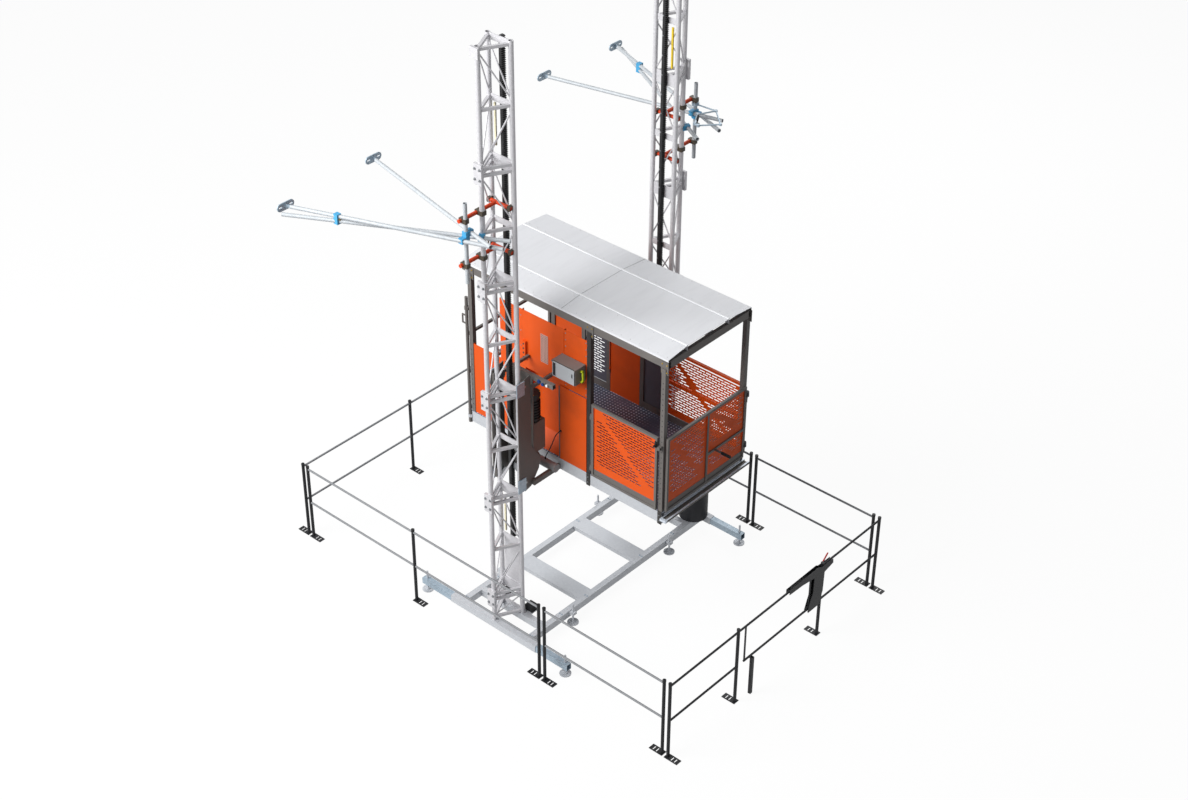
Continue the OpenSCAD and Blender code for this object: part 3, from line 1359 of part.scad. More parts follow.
// Lamp under the roof at the right end
lamp_x = platform_right - 170;
lamp_y = 200;
lamp_l = 80;
lamp_w = 70;
lamp_h = 40;
lamp_drop = 70;
lamp_arm = 20;
lamp_colour = [0.85, 0.86, 0.88];
module lamp() color(lamp_colour) placed() {
  z = roof_z - lamp_drop;
  box([lamp_x - lamp_w / 2, lamp_y - lamp_l / 2, z], [lamp_x + lamp_w / 2, lamp_y + lamp_l / 2, z + lamp_h]);
  box([lamp_x - lamp_arm / 2, lamp_y - lamp_arm / 2, z + lamp_h],
    [lamp_x + lamp_arm / 2, lamp_y + lamp_arm / 2, roof_z + 2]);
  box([lamp_x - lamp_arm / 2, lamp_y - lamp_arm / 2, roof_z],
    [roof_right - roof_beam_w - gap, lamp_y + lamp_arm / 2, roof_z + 14]);
}

// Cable from the side panel to the drive unit
cable_d = 12;
cable_end = torque_tube_z + torque_tube_d / 2 + 2 * tiny;
cable_route = [[290, -783.3, 2760], [288, -800, 2758], [272, -829, 2737], [255, -852, 2692],
  [237, -866, 2628], [216, -876, 2556], [190, -883, 2486], [163, -887, 2428], [140, -887, 2380],
  [122, -884, cable_end + 30], [115, -880, cable_end]];
cable_sides = 8;
cable_last = len(cable_route) - 1;
function cable_step(i) = cable_route[min(i + 1, cable_last)] - cable_route[max(i - 1, 0)];
function unit(v) = v / norm(v);
function cable_ring(i) =
  let (t = unit(cable_step(i)), u = unit(cross(t, [1, 0, 0])), w = cross(t, u))
  [for (k = [0:cable_sides - 1]) let (a = k * 360 / cable_sides)
    cable_route[i] + cable_d / 2 * (cos(a) * u + sin(a) * w)];
module motor_cable() color(black) placed() {
  n = cable_sides;
  points = [for (i = [0:cable_last]) each cable_ring(i)];
  sides = [
    for (i = [0:cable_last - 1]) for (k = [0:n - 1]) let (a = i * n + k, b = i * n + (k + 1) % n)
      each [[a, a + n, b], [b, a + n, b + n]]
  ];
  caps = [[for (k = [0:n - 1]) k], [for (k = [n - 1:-1:0]) cable_last * n + k]];
  polyhedron(points = points, faces = concat(sides, caps));
}

base_beams();
outrigger_housings();
outrigger_arm_near_left();
outrigger_arm_near_right();
outrigger_arm_far_left();
outrigger_arm_far_right();
outrigger_foot_near_left();
outrigger_foot_near_right();
outrigger_foot_far_left();
outrigger_foot_far_right();
beam_foot_near_left();
beam_foot_near_right();
beam_foot_far_left();
beam_foot_far_right();
near_mast();
far_mast();
racks();
mast_guards();
limit_cams();
base_buffers();
tie_frames();
tie_tubes();
tie_couplers();
tie_clamps();
wall_plates();
cable_bucket();
cable_guide();
fence_posts();
fence_rails();
barrier_bracket();
barrier_arm();
barrier_lever();
floor_frame();
floor_deck();
cage_frame();
roof_sheets();
solid_panels();
mesh_panels();
drive_frames();
gearboxes();
drive_motors();
roller_brackets();
near_pinion();
far_pinion();
near_safety_pinion();
far_safety_pinion();
near_upper_rollers();
near_lower_rollers();
far_upper_rollers();
far_lower_rollers();
front_gate();
gate_latch();
right_gate();
left_gate();
service_door();
control_cabinet();
cabinet_door();
stop_button();
motor_cable();
lamp();
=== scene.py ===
# %% [markdown]
# # Material hoist
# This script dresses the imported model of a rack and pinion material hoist. The frame (the model's own
# solids) is loaded first and is never moved. Every finish is procedural, and every added piece rides on
# one of the model's bodies, so the gates, the platform and the outriggers still move as they should.

# %% Load the frame
import math

import bmesh
import bpy
from mathutils import Matrix, Vector


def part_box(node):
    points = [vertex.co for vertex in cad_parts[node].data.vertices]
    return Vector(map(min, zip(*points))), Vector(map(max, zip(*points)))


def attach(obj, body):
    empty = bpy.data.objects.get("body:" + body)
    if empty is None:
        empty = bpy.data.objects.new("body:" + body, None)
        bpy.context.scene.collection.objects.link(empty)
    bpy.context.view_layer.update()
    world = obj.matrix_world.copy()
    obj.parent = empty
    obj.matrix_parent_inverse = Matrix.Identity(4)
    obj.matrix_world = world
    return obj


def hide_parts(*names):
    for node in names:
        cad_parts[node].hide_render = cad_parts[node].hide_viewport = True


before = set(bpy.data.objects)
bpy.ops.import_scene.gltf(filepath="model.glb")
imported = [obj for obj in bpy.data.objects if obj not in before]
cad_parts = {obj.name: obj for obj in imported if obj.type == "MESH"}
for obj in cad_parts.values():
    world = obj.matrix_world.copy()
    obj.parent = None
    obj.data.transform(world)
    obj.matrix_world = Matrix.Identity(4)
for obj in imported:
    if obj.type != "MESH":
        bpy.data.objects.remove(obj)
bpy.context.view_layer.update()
MM = 0.001
print("nodes loaded:", len(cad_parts))

# %% [markdown]
# The camera stands at the photograph's viewpoint: high, in front of the corner between the long front
# side and the right end. Its place came from lines on the masts, the base and the fence, so a solved
# position and three angles set it, and no shift or depth of field is needed.

# %% Camera
CAMERA_AT = (14.0665, -15.644, 17.342)
YAW, PITCH, ROLL = 0.725, -0.610, 0.005
LENS_MM, SENSOR_MM = 62.09, 36.0

forward = Vector((-math.sin(YAW) * math.cos(PITCH), math.cos(YAW) * math.cos(PITCH), math.sin(PITCH)))
level_right = Vector((math.cos(YAW), math.sin(YAW), 0.0))
level_up = level_right.cross(forward)
right = level_right * math.cos(ROLL) + level_up * math.sin(ROLL)
up = level_up * math.cos(ROLL) - level_right * math.sin(ROLL)
turn = Matrix((right, up, -forward)).transposed().to_4x4()
camera = bpy.data.objects.new("camera", bpy.data.cameras.new("camera"))
camera.matrix_world = Matrix.Translation(CAMERA_AT) @ turn
camera.data.lens = LENS_MM
camera.data.sensor_width = SENSOR_MM
camera.data.clip_end = 200.0
bpy.context.scene.collection.objects.link(camera)
bpy.context.scene.camera = camera
print("camera at:", CAMERA_AT, "lens in mm:", LENS_MM)

# %% [markdown]
# Colours are written as sRGB hex, the way a paint chart or an image editor gives them. Blender works in
# linear light, so one function converts them. Another adds a shader node with its settings and links,
# which keeps each material down to the few lines that make it what it is.

# %% Colour and node helpers


def srgb(code):
    values = [int(code[i:i + 2], 16) / 255 for i in (1, 3, 5)]
    return [v / 12.92 if v <= 0.04045 else ((v + 0.055) / 1.055) ** 2.4 for v in values] + [1.0]


def add(tree, kind, settings=(), links=()):
    node = tree.nodes.new(kind)
    for name, value in dict(settings).items():
        if isinstance(name, int) or name in node.inputs:
            node.inputs[name].default_value = value
        else:
            setattr(node, name, value)
    for name, source in dict(links).items():
        tree.links.new(source, node.inputs[name])
    return node


def new_material(name, shader):
    material = bpy.data.materials.new(name)
    material.use_nodes = True
    tree = material.node_tree
    tree.nodes.clear()
    coords = add(tree, "ShaderNodeTexCoord").outputs["Object"]
    surface = add(tree, "ShaderNodeBsdfPrincipled", shader)
    add(tree, "ShaderNodeOutputMaterial", {}, {"Surface": surface.outputs[0]})
    return material, tree, coords, surface


print("helpers ready")

# %% [markdown]
# The power cable is the one flexible piece that shows: a rubber sheathed cable that leaves the side panel,
# hangs in a slack bow and enters the drive unit's tube. Its thickness comes first and its shape second. A
# spline through a few points of the route gives a curve with no kinks, and each end sits in a tapered
# gland, the soft cone that keeps a cable from bending sharply where a housing grips it.

# %% Power cable between the panel and the drive unit
CABLE_THICK = 12 * MM
CABLE_ROUTE = [(0.3675, -0.7833, 2.760), (0.3655, -0.800, 2.758), (0.3495, -0.829, 2.737),
               (0.3325, -0.852, 2.692), (0.3145, -0.866, 2.628), (0.2935, -0.876, 2.556),
               (0.2675, -0.883, 2.486), (0.2405, -0.887, 2.428), (0.2175, -0.887, 2.380),
               (0.1995, -0.884, 2.3375), (0.1925, -0.880, 2.3075)]
STEPS = 3


def smooth_route(route, steps):
    """More points on a Catmull-Rom spline, which passes through every point that it is given."""
    points = [Vector(p) for p in route]
    ends = [2 * points[0] - points[1]] + points + [2 * points[-1] - points[-2]]
    smooth = []
    for i in range(1, len(points)):
        a, b, c, d = ends[i - 1:i + 3]
        for k in range(steps):
            t = k / steps
            smooth.append(0.5 * (2 * b + (c - a) * t + (2 * a - 5 * b + 4 * c - d) * t * t
                                 + (3 * b - a - 3 * c + d) * t ** 3))
    return smooth + [points[-1]]


cable_points = smooth_route(CABLE_ROUTE, STEPS)
cable_curve = bpy.data.curves.new("power_cable", "CURVE")
cable_curve.dimensions = "3D"
cable_curve.bevel_depth = CABLE_THICK / 2
cable_curve.bevel_resolution = 5
cable_curve.use_fill_caps = True
spline = cable_curve.splines.new("POLY")
spline.points.add(len(cable_points) - 1)
for spot, place in zip(spline.points, cable_points):
    spot.co = (*place, 1.0)
power_cable = bpy.data.objects.new("power_cable", cable_curve)
bpy.context.scene.collection.objects.link(power_cable)
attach(power_cable, "platform")
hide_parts("motor_cable")

# %% [markdown]
# Hot dip galvanised steel is steel that was dipped in molten zinc. It freezes into spangles, flat
# crystals some 15 to 30 mm across that each reflect a little differently. A cell texture gives each
# spangle its own grey, and soft noise gives the dull bloom that weather leaves. The two greys lie close
# together, because an old coat is calm. It is a metal, so the IOR stays at its default.

# %% Galvanised steel
SPANGLE = 22 * MM


def galvanised(name, pale, dark, rough=0.45, metallic=0.3):
    material, tree, coords, surface = new_material(name, {"Metallic": metallic, "Roughness": rough})
    cells = add(tree, "ShaderNodeTexVoronoi", {"Scale": 1 / SPANGLE}, {"Vector": coords})
    grey = add(tree, "ShaderNodeMix", {"data_type": "RGBA", 6: srgb(dark), 7: srgb(pale)},
               {0: cells.outputs["Color"]})
    bloom = add(tree, "ShaderNodeTexNoise", {"Scale": 2.5, "Detail": 5.0}, {"Vector": coords})
    patch = add(tree, "ShaderNodeMapRange", {"From Min": 0.55, "From Max": 0.85},
                {"Value": bloom.outputs["Fac"]})
    dull = add(tree, "ShaderNodeMix", {"data_type": "RGBA", 7: srgb(dark)},
               {0: patch.outputs[0], 6: grey.outputs[2]})
    tree.links.new(dull.outputs[2], surface.inputs["Base Color"])
    sheen = add(tree, "ShaderNodeMapRange", {"To Min": rough - 0.08, "To Max": rough + 0.16},
                {"Value": bloom.outputs["Fac"]})
    tree.links.new(sheen.outputs[0], surface.inputs["Roughness"])
    grain = add(tree, "ShaderNodeTexNoise", {"Scale": 120.0, "Detail": 3.0}, {"Vector": coords})
    relief = add(tree, "ShaderNodeBump", {"Distance": 0.4 * MM, "Strength": 0.25},
                 {"Height": grain.outputs["Fac"]})
    tree.links.new(relief.outputs[0], surface.inputs["Normal"])
    return material


GALVANISED = galvanised("galvanised steel", "#D4D3D6", "#C8C7CA")
GALVANISED_BASE = galvanised("galvanised steel tube", "#C8CBCF", "#BFC2C7")
BLUED_ZINC = galvanised("passivated zinc", "#AFBFCB", "#94A6B4", 0.4)
TIE_ALUMINIUM = galvanised("aluminium scaffold tube", "#C3C7CA", "#B0B6BB", 0.5, 0.1)
GOLD_ZINC = galvanised("yellow passivated zinc", "#C4A652", "#9C8138", 0.38, 0.5)
SILL_STEEL = galvanised("bright zinc sill", "#DCE3EC", "#C9D2DC", 0.4)
print("galvanised finishes ready")

# %% [markdown]
# Powder coat is paint baked on from dry powder. It leaves an even colour with a fine orange peel: low
# waves some 2 to 4 mm across. On a working hoist it picks up dust in patches, and it chips to primer here
# and there. The peel is drawn at 6 mm, coarser than real, so that it shows. The coat is a dielectric with
# an IOR of 1.5, and its specular level is low, because years of dust take the gloss off.

# %% Powder coat
PEEL = 6 * MM


def powder_coat(name, colour, dust, rough=0.5, chips=0.95):
    material, tree, coords, surface = new_material(
        name, {"Roughness": rough, "IOR": 1.5, "Specular IOR Level": 0.25})
    patches = add(tree, "ShaderNodeTexNoise", {"Scale": 1.7, "Detail": 6.0, "Roughness": 0.62},
                  {"Vector": coords})
    where = add(tree, "ShaderNodeMapRange", {"From Min": 0.5, "From Max": 0.95},
                {"Value": patches.outputs["Fac"]})
    worn = add(tree, "ShaderNodeMix", {"data_type": "RGBA", 6: srgb(colour), 7: srgb(dust)},
               {0: where.outputs[0]})
    spots = add(tree, "ShaderNodeTexNoise", {"Scale": 38.0, "Detail": 4.0}, {"Vector": coords})
    chip = add(tree, "ShaderNodeMapRange", {"From Min": chips, "From Max": chips + 0.02},
               {"Value": spots.outputs["Fac"]})
    bare = add(tree, "ShaderNodeMix", {"data_type": "RGBA", 7: srgb("#8A8580")},
               {0: chip.outputs[0], 6: worn.outputs[2]})
    tree.links.new(bare.outputs[2], surface.inputs["Base Color"])
    sheen = add(tree, "ShaderNodeMapRange", {"To Min": rough - 0.1, "To Max": rough + 0.15},
                {"Value": patches.outputs["Fac"]})
    tree.links.new(sheen.outputs[0], surface.inputs["Roughness"])
    peel = add(tree, "ShaderNodeTexNoise", {"Scale": 1 / PEEL, "Detail": 1.0}, {"Vector": coords})
    relief = add(tree, "ShaderNodeBump", {"Distance": 0.3 * MM, "Strength": 0.3},
                 {"Height": peel.outputs["Fac"]})
    tree.links.new(relief.outputs[0], surface.inputs["Normal"])
    return material


ORANGE = powder_coat("orange powder coat", "#DE5513", "#B8481A", 0.5, 0.74)
TAUPE = powder_coat("dark grey powder coat", "#6A6663", "#7B7773", 0.5, 0.76)
SLATE = powder_coat("grey powder coated sheet", "#62626C", "#55565E", 0.5)
BLACK = powder_coat("black powder coat", "#1D1E20", "#323338", 0.5)
# The rails' grey is their lit side; the rails that lie in shade get black instead, as painted shade.
LIT_RAIL_GREY = powder_coat("fence tube paint, lit side", "#86888B", "#97999C", 0.48)
RED = powder_coat("red tie paint", "#D0431A", "#A83C1C", 0.42, 0.74)
GREY_CAST = powder_coat("gearbox paint", "#77706A", "#8A847D", 0.52)
CABINET = powder_coat("cabinet paint", "#827A76", "#716A66", 0.5)
DOOR_GREY = powder_coat("cabinet door paint", "#A6A9AC", "#96999C", 0.48)
BLUE_CAP = powder_coat("blue coupler paint", "#4FA6D4", "#3786B2", 0.4)
BRONZE = powder_coat("dark bronze coupler coat", "#4A4338", "#5E5445", 0.45)
CREAM = powder_coat("cream cam paint", "#E6DFC0", "#CFC6A2", 0.45)
LEVER_RED = powder_coat("lever paint", "#C32A20", "#A5271F", 0.4)
LAMP_WHITE = powder_coat("lamp enamel", "#E4E5E7", "#D0D1D4", 0.35)
LIME = powder_coat("lime paint", "#D2E32C", "#BECF2C", 0.42)
JOINT_GREY = powder_coat("roof joint grey", "#A4A6A9", "#97999C", 0.5)
PALE_CAP = powder_coat("pale seam cap", "#F0F1F3", "#E2E4E7", 0.4)
YELLOW = powder_coat("yellow cam paint", "#DDBE35", "#C2A531", 0.42)
DRIVE_TUBE_GREY = powder_coat("drive tube paint", "#9A9A9B", "#8A8A8B", 0.5)
POST_BLACK = powder_coat("dark post paint", "#353332", "#454341", 0.5)
PALE_ROSE = powder_coat("rose grey vent sheet", "#C79C90", "#B4897D", 0.5)
print("powder coats ready")

# %% [markdown]
# The rack is rolled steel that is greased black, with bright flanks where the pinions run. The pinions
# and the guide rollers are turned steel, with fine tool marks that show as a soft sheen. Real
# marks are under 0.2 mm apart. A wave texture repeats every 0.31 / Scale metres, so these are drawn some
# 3.5 mm apart, far coarser than real, so that they show at all.

# %% Greased and machined steel


def machined(name, pale, dark, rough, metallic):
    material, tree, coords, surface = new_material(name, {"Metallic": metallic, "Roughness": rough})
    smear = add(tree, "ShaderNodeTexNoise", {"Scale": 9.0, "Detail": 4.0}, {"Vector": coords})
    tone = add(tree, "ShaderNodeMix", {"data_type": "RGBA", 6: srgb(dark), 7: srgb(pale)},
               {0: smear.outputs["Fac"]})
    tree.links.new(tone.outputs[2], surface.inputs["Base Color"])
    marks = add(tree, "ShaderNodeTexWave", {"Scale": 90.0, "Distortion": 1.5, "bands_direction": "Y"},
                {"Vector": coords})
    relief = add(tree, "ShaderNodeBump", {"Distance": 0.15 * MM, "Strength": 0.2},
                 {"Height": marks.outputs["Fac"]})
    tree.links.new(relief.outputs[0], surface.inputs["Normal"])
    return material


RACK_STEEL = machined("greased rack steel", "#2C2C2E", "#151516", 0.42, 0.35)
TURNED = machined("turned steel", "#A3A5A8", "#7A7D80", 0.34, 0.8)
# Painted shade: this dark finish is put where holes are, in place of the shade inside them.
HOLE_SHADE = machined("painted hole shade", "#3A3A3D", "#242427", 0.4, 0.5)
print("machined finishes ready")

# %% [markdown]
# Rubber and plastic scatter light without a metal's glint. The buffers, the cable and the grips are
# filled rubber, almost black and very rough. The cable bucket and the stop switch are moulded plastic,
# smoother, with a faint moulded texture.

# %% Rubber and plastic


def moulded(name, colour, paler, rough, grain, depth):
    material, tree, coords, surface = new_material(
        name, {"Roughness": rough, "IOR": 1.46, "Specular IOR Level": 0.3})
    tone = add(tree, "ShaderNodeTexNoise", {"Scale": 6.0, "Detail": 4.0}, {"Vector": coords})
    where = add(tree, "ShaderNodeMapRange", {"From Min": 0.35, "From Max": 0.8},
                {"Value": tone.outputs["Fac"]})
    shade = add(tree, "ShaderNodeMix", {"data_type": "RGBA", 6: srgb(colour), 7: srgb(paler)},
                {0: where.outputs[0]})
    tree.links.new(shade.outputs[2], surface.inputs["Base Color"])
    texture = add(tree, "ShaderNodeTexNoise", {"Scale": 1 / grain, "Detail": 2.0}, {"Vector": coords})
    relief = add(tree, "ShaderNodeBump", {"Distance": depth, "Strength": 0.4},
                 {"Height": texture.outputs["Fac"]})
    tree.links.new(relief.outputs[0], surface.inputs["Normal"])
    return material


RUBBER = moulded("black rubber", "#17181A", "#242528", 0.8, 4 * MM, 0.4 * MM)
CABLE_RUBBER = moulded("cable sheath rubber", "#141517", "#202225", 0.7, 3 * MM, 0.2 * MM)
BUCKET = moulded("black polyethylene", "#1D1E21", "#2B2C30", 0.55, 9 * MM, 0.4 * MM)
BLUE_PLASTIC = moulded("blue switch plastic", "#173A74", "#234C8A", 0.35, 5 * MM, 0.1 * MM)
BLACK_PLASTIC = moulded("black grip plastic", "#1C1D20", "#2A2B2F", 0.6, 3 * MM, 0.3 * MM)
WHITE_PLASTIC = moulded("white handle plastic", "#E4E6E8", "#F0F1F2", 0.4, 5 * MM, 0.1 * MM)
power_cable.data.materials.append(CABLE_RUBBER)
print("rubbers and plastics ready")

# %% [markdown]
# The roof is coil coated aluminium sheet: a pale grey skin, nearly even, with faint rain marks that run
# down the slope. Stretching the noise along the fall makes those streaks.

# %% Coated roof sheet
ROOF, tree, coords, surface = new_material(
    "coated roof sheet", {"Roughness": 0.55, "IOR": 1.5, "Specular IOR Level": 0.25})
stretched = add(tree, "ShaderNodeMapping", {"Scale": (5.0, 0.7, 1.0)}, {"Vector": coords})
streaks = add(tree, "ShaderNodeTexNoise", {"Scale": 3.0, "Detail": 6.0}, {"Vector": stretched.outputs[0]})
where = add(tree, "ShaderNodeMapRange", {"From Min": 0.45, "From Max": 0.85},
            {"Value": streaks.outputs["Fac"]})
skin = add(tree, "ShaderNodeMix", {"data_type": "RGBA", 6: srgb("#E3E4E7"), 7: srgb("#DDDEE1")},
           {0: where.outputs[0]})
tree.links.new(skin.outputs[2], surface.inputs["Base Color"])
relief = add(tree, "ShaderNodeBump", {"Distance": 0.3 * MM, "Strength": 0.08},
             {"Height": streaks.outputs["Fac"]})
tree.links.new(relief.outputs[0], surface.inputs["Normal"])
print("roof finish ready")

# %% [markdown]
# The floor is aluminium anti-slip plate: rows of pressed studs every 45 mm on a blue-grey sheet. A grid of
# cells makes the studs as height and as a brighter worn top. They are drawn some 25 mm across, larger than
# real studs, so that they show. The wear is patchy, because only where people walk does the metal shine.

# %% Studded floor plate
STUD_PITCH = 45 * MM
DECK, tree, coords, surface = new_material("studded aluminium plate", {"Metallic": 0.2, "Roughness": 0.5})
grid = add(tree, "ShaderNodeTexVoronoi", {"Scale": 1 / STUD_PITCH, "Randomness": 0.0}, {"Vector": coords})
studs = add(tree, "ShaderNodeMapRange", {"From Min": 0.34, "From Max": 0.2},
            {"Value": grid.outputs["Distance"]})
dirt = add(tree, "ShaderNodeTexNoise", {"Scale": 1.6, "Detail": 7.0}, {"Vector": coords})
soiled = add(tree, "ShaderNodeMapRange", {"From Min": 0.4, "From Max": 0.75}, {"Value": dirt.outputs["Fac"]})
sheet_tone = add(tree, "ShaderNodeMix", {"data_type": "RGBA", 6: srgb("#69718A"), 7: srgb("#565E72")},
                 {0: soiled.outputs[0]})
worn = add(tree, "ShaderNodeMapRange", {"From Min": 0.40, "From Max": 0.52}, {"Value": dirt.outputs["Fac"]})
shine = add(tree, "ShaderNodeMath", {"operation": "MULTIPLY"}, {0: studs.outputs[0], 1: worn.outputs[0]})
topped = add(tree, "ShaderNodeMix", {"data_type": "RGBA", 7: srgb("#D3DCEC")},
             {0: shine.outputs[0], 6: sheet_tone.outputs[2]})
tree.links.new(topped.outputs[2], surface.inputs["Base Color"])
relief = add(tree, "ShaderNodeBump", {"Distance": 2 * MM, "Strength": 0.6}, {"Height": studs.outputs[0]})
tree.links.new(relief.outputs[0], surface.inputs["Normal"])
print("floor finish ready")

# %% [markdown]
# Each solid of the frame gets its finish by name. A few nodes hold more than one finish, and there the
# choice goes by where a face lies: the gates are grey frames with orange sheets, and on the back wall the
# narrow slotted sheet and the tall closed sheet are grey while the rest is orange. The round tube of each
# drive frame is paler than the frame, and one front post is darker than the other posts.

# %% Finishes for the frame's own solids
FINISHES = {
    GALVANISED: ["near_mast", "far_mast", "mast_guards"],
    GALVANISED_BASE: ["base_beams", "outrigger_housings"],
    BLUED_ZINC: ["wall_plates", "cable_guide", "roller_brackets"],
    TIE_ALUMINIUM: ["tie_tubes"],
    ORANGE: ["service_door"],
    TAUPE: ["left_gate"],
    BLACK: ["fence_posts", "barrier_bracket", "barrier_arm", "gate_latch", "drive_motors"],
    BRONZE: ["tie_clamps"],
    RED: ["tie_frames"],
    BLUE_CAP: ["tie_couplers"],
    LEVER_RED: ["barrier_lever"],
    GREY_CAST: ["gearboxes"],
    CABINET: ["control_cabinet"],
    DOOR_GREY: ["cabinet_door"],
    LAMP_WHITE: ["lamp"],
    RACK_STEEL: ["racks"],
    RUBBER: ["base_buffers"],
    BUCKET: ["cable_bucket"],
    BLUE_PLASTIC: ["stop_button"],
    ROOF: ["roof_sheets"],
    DECK: ["floor_deck"],
}
BY_START = {"outrigger_arm": BLUED_ZINC}
BY_MIDDLE = {"_foot_": GALVANISED_BASE}
BY_END = {"_pinion": TURNED, "_rollers": TURNED}


def finish_of(name):
    """The one finish of a node, by its name or by what its name starts with, holds or ends with."""
    for finish, names in FINISHES.items():
        if name in names:
            return finish
    found = [finish for start, finish in BY_START.items() if name.startswith(start)]
    found += [finish for middle, finish in BY_MIDDLE.items() if middle in name]
    found += [finish for end, finish in BY_END.items() if name.endswith(end)]
    return found[0] if found else None


for name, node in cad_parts.items():
    if finish_of(name):
        node.data.materials.clear()
        node.data.materials.append(finish_of(name))


def by_place(name, finishes, which):
    """Gives the faces of one node several finishes, by where each face's centre lies."""
    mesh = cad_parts[name].data
    mesh.materials.clear()
    for finish in finishes:
        mesh.materials.append(finish)
    chosen = [int(which(face.center)) for face in mesh.polygons]
    mesh.polygons.foreach_set("material_index", chosen)
    mesh.update()
    print(name, "faces by finish:", [chosen.count(i) for i in range(len(finishes))])


# The part's source centres the model by this shift along x
SHIFT = 0.0775
SHEET_HALF = 3.4 * MM
FRONT_SHEET_Y, RIGHT_SHEET_X, GATE_KICK_TOP = -0.786, 2.002, 2.457
NARROW_SHEET, TALL_SHEET, BACK_WALL_Y = (-0.75, -0.2), (0.27, 0.62), 0.5
DRIVE_TUBE_Y, DRIVE_TUBE_Z, DRIVE_TUBE_R = 0.880, 2.248, 0.0585
DARK_POST, DARK_POST_TOP, FRONT_POSTS_Y = (0.777, 0.838), 4.37, -0.70
SILL_X, SILL_FLANGE = 1.9735, 2.2645
# Rails past this x lie in shade and are painted black.
SHADED_RAILS_X = 3.0
by_place("front_gate", [TAUPE, ORANGE],
         lambda c: abs(c.y - FRONT_SHEET_Y) < SHEET_HALF and c.z > GATE_KICK_TOP)
by_place("right_gate", [TAUPE, ORANGE],
         lambda c: abs(c.x - RIGHT_SHEET_X) < SHEET_HALF and c.z > GATE_KICK_TOP)
by_place("mesh_panels", [ORANGE, SLATE],
         lambda c: c.y > 0 and NARROW_SHEET[0] < c.x - SHIFT < NARROW_SHEET[1])
by_place("solid_panels", [ORANGE, SLATE],
         lambda c: c.y > BACK_WALL_Y and TALL_SHEET[0] < c.x - SHIFT < TALL_SHEET[1])
by_place("limit_cams", [CREAM, YELLOW], lambda c: c.y > 0)
# Painted shade: the rails on the right side are black, and the others keep the lit grey.
by_place("fence_rails", [LIT_RAIL_GREY, BLACK], lambda c: c.x > SHADED_RAILS_X)
by_place("drive_frames", [TAUPE, DRIVE_TUBE_GREY],
         lambda c: math.hypot(abs(c.y) - DRIVE_TUBE_Y, c.z - DRIVE_TUBE_Z) < DRIVE_TUBE_R)
by_place("cage_frame", [TAUPE, POST_BLACK],
         lambda c: c.y < FRONT_POSTS_Y and DARK_POST[0] < c.x < DARK_POST[1] and c.z < DARK_POST_TOP)
# Painted shade: past SILL_X the end sill's faces are dark grey, because its end lies in shade; faces above
# SILL_FLANGE keep the sill's bright steel.
by_place("floor_frame", [GALVANISED_BASE, TAUPE, SILL_STEEL],
         lambda c: c.x > SILL_X and (2 if c.z > SILL_FLANGE else 1))

# %% [markdown]
# Added pieces are made from simple mesh code. One helper turns a bmesh into an object with a finish and
# puts it on its body. Sharp edges get a small bevel so that they catch the light as real edges do.

# %% Piece helper


def piece(name, mesh_builder, finish, body, bevel=0.0, smooth=True):
    data = bpy.data.meshes.new(name)
    data_bm = bmesh.new()
    mesh_builder(data_bm)
    bmesh.ops.recalc_face_normals(data_bm, faces=data_bm.faces)
    data_bm.to_mesh(data)
    data_bm.free()
    made = bpy.data.objects.new(name, data)
    bpy.context.scene.collection.objects.link(made)
    data.materials.append(finish)
    if bevel:
        edge = made.modifiers.new("edge", "BEVEL")
        edge.width = bevel
        edge.segments = 2
        edge.limit_method = "ANGLE"
    if smooth:
        for face in data.polygons:
            face.use_smooth = True
        made.data.set_sharp_from_angle(angle=math.radians(35))
    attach(made, body)
    print(name, "faces:", len(data.polygons))
    return made


def add_cylinder(bm, start, end, radius, sides=16, radius_end=None):
    start, end = Vector(start), Vector(end)
    axis = end - start
    turn = axis.to_track_quat("Z", "Y").to_matrix().to_4x4()
    place = Matrix.Translation((start + end) / 2) @ turn
    top = radius if radius_end is None else radius_end
    bmesh.ops.create_cone(bm, cap_ends=True, segments=sides, radius1=radius, radius2=top,
                          depth=axis.length, matrix=place)


def add_box(bm, one, other):
    """A box between two opposite corners, given in any order."""
    low, high = Vector(map(min, one, other)), Vector(map(max, one, other))
    place = Matrix.Translation((low + high) / 2) @ Matrix.Diagonal((*(high - low), 1.0))
    bmesh.ops.create_cube(bm, size=1.0, matrix=place)


def add_bolt(bm, at, axis, across=19 * MM, head=8 * MM):
    """A hexagon head on its round washer, standing on a surface with the given outward axis."""
    at, axis = Vector(at), Vector(axis).normalized()
    add_cylinder(bm, at - axis * 1 * MM, at + axis * 2 * MM, across * 0.72, 20)
    add_cylinder(bm, at + axis * 2 * MM, at + axis * (2 * MM + head), across * 0.56, 6)
    add_cylinder(bm, at + axis * (2 * MM + head), at + axis * (5 * MM + head), across * 0.3, 12)


# %% [markdown]
# A cable gland is a hexagon nut with a domed cap and a soft cone in front of it. A whole gland here is
# 32 mm long. Its cone ends just wider than the cable, so the cable seems to grow out of it.

# %% Cable glands


def add_gland(bm, at, toward):
    at, toward = Vector(at), (Vector(toward) - Vector(at)).normalized()
    add_cylinder(bm, at, at + toward * 9 * MM, 13 * MM, 6)
    add_cylinder(bm, at + toward * 9 * MM, at + toward * 16 * MM, 11.5 * MM, 20, 10 * MM)
    add_cylinder(bm, at + toward * 16 * MM, at + toward * 32 * MM, 9 * MM, 20, CABLE_THICK / 2 + 0.8 * MM)


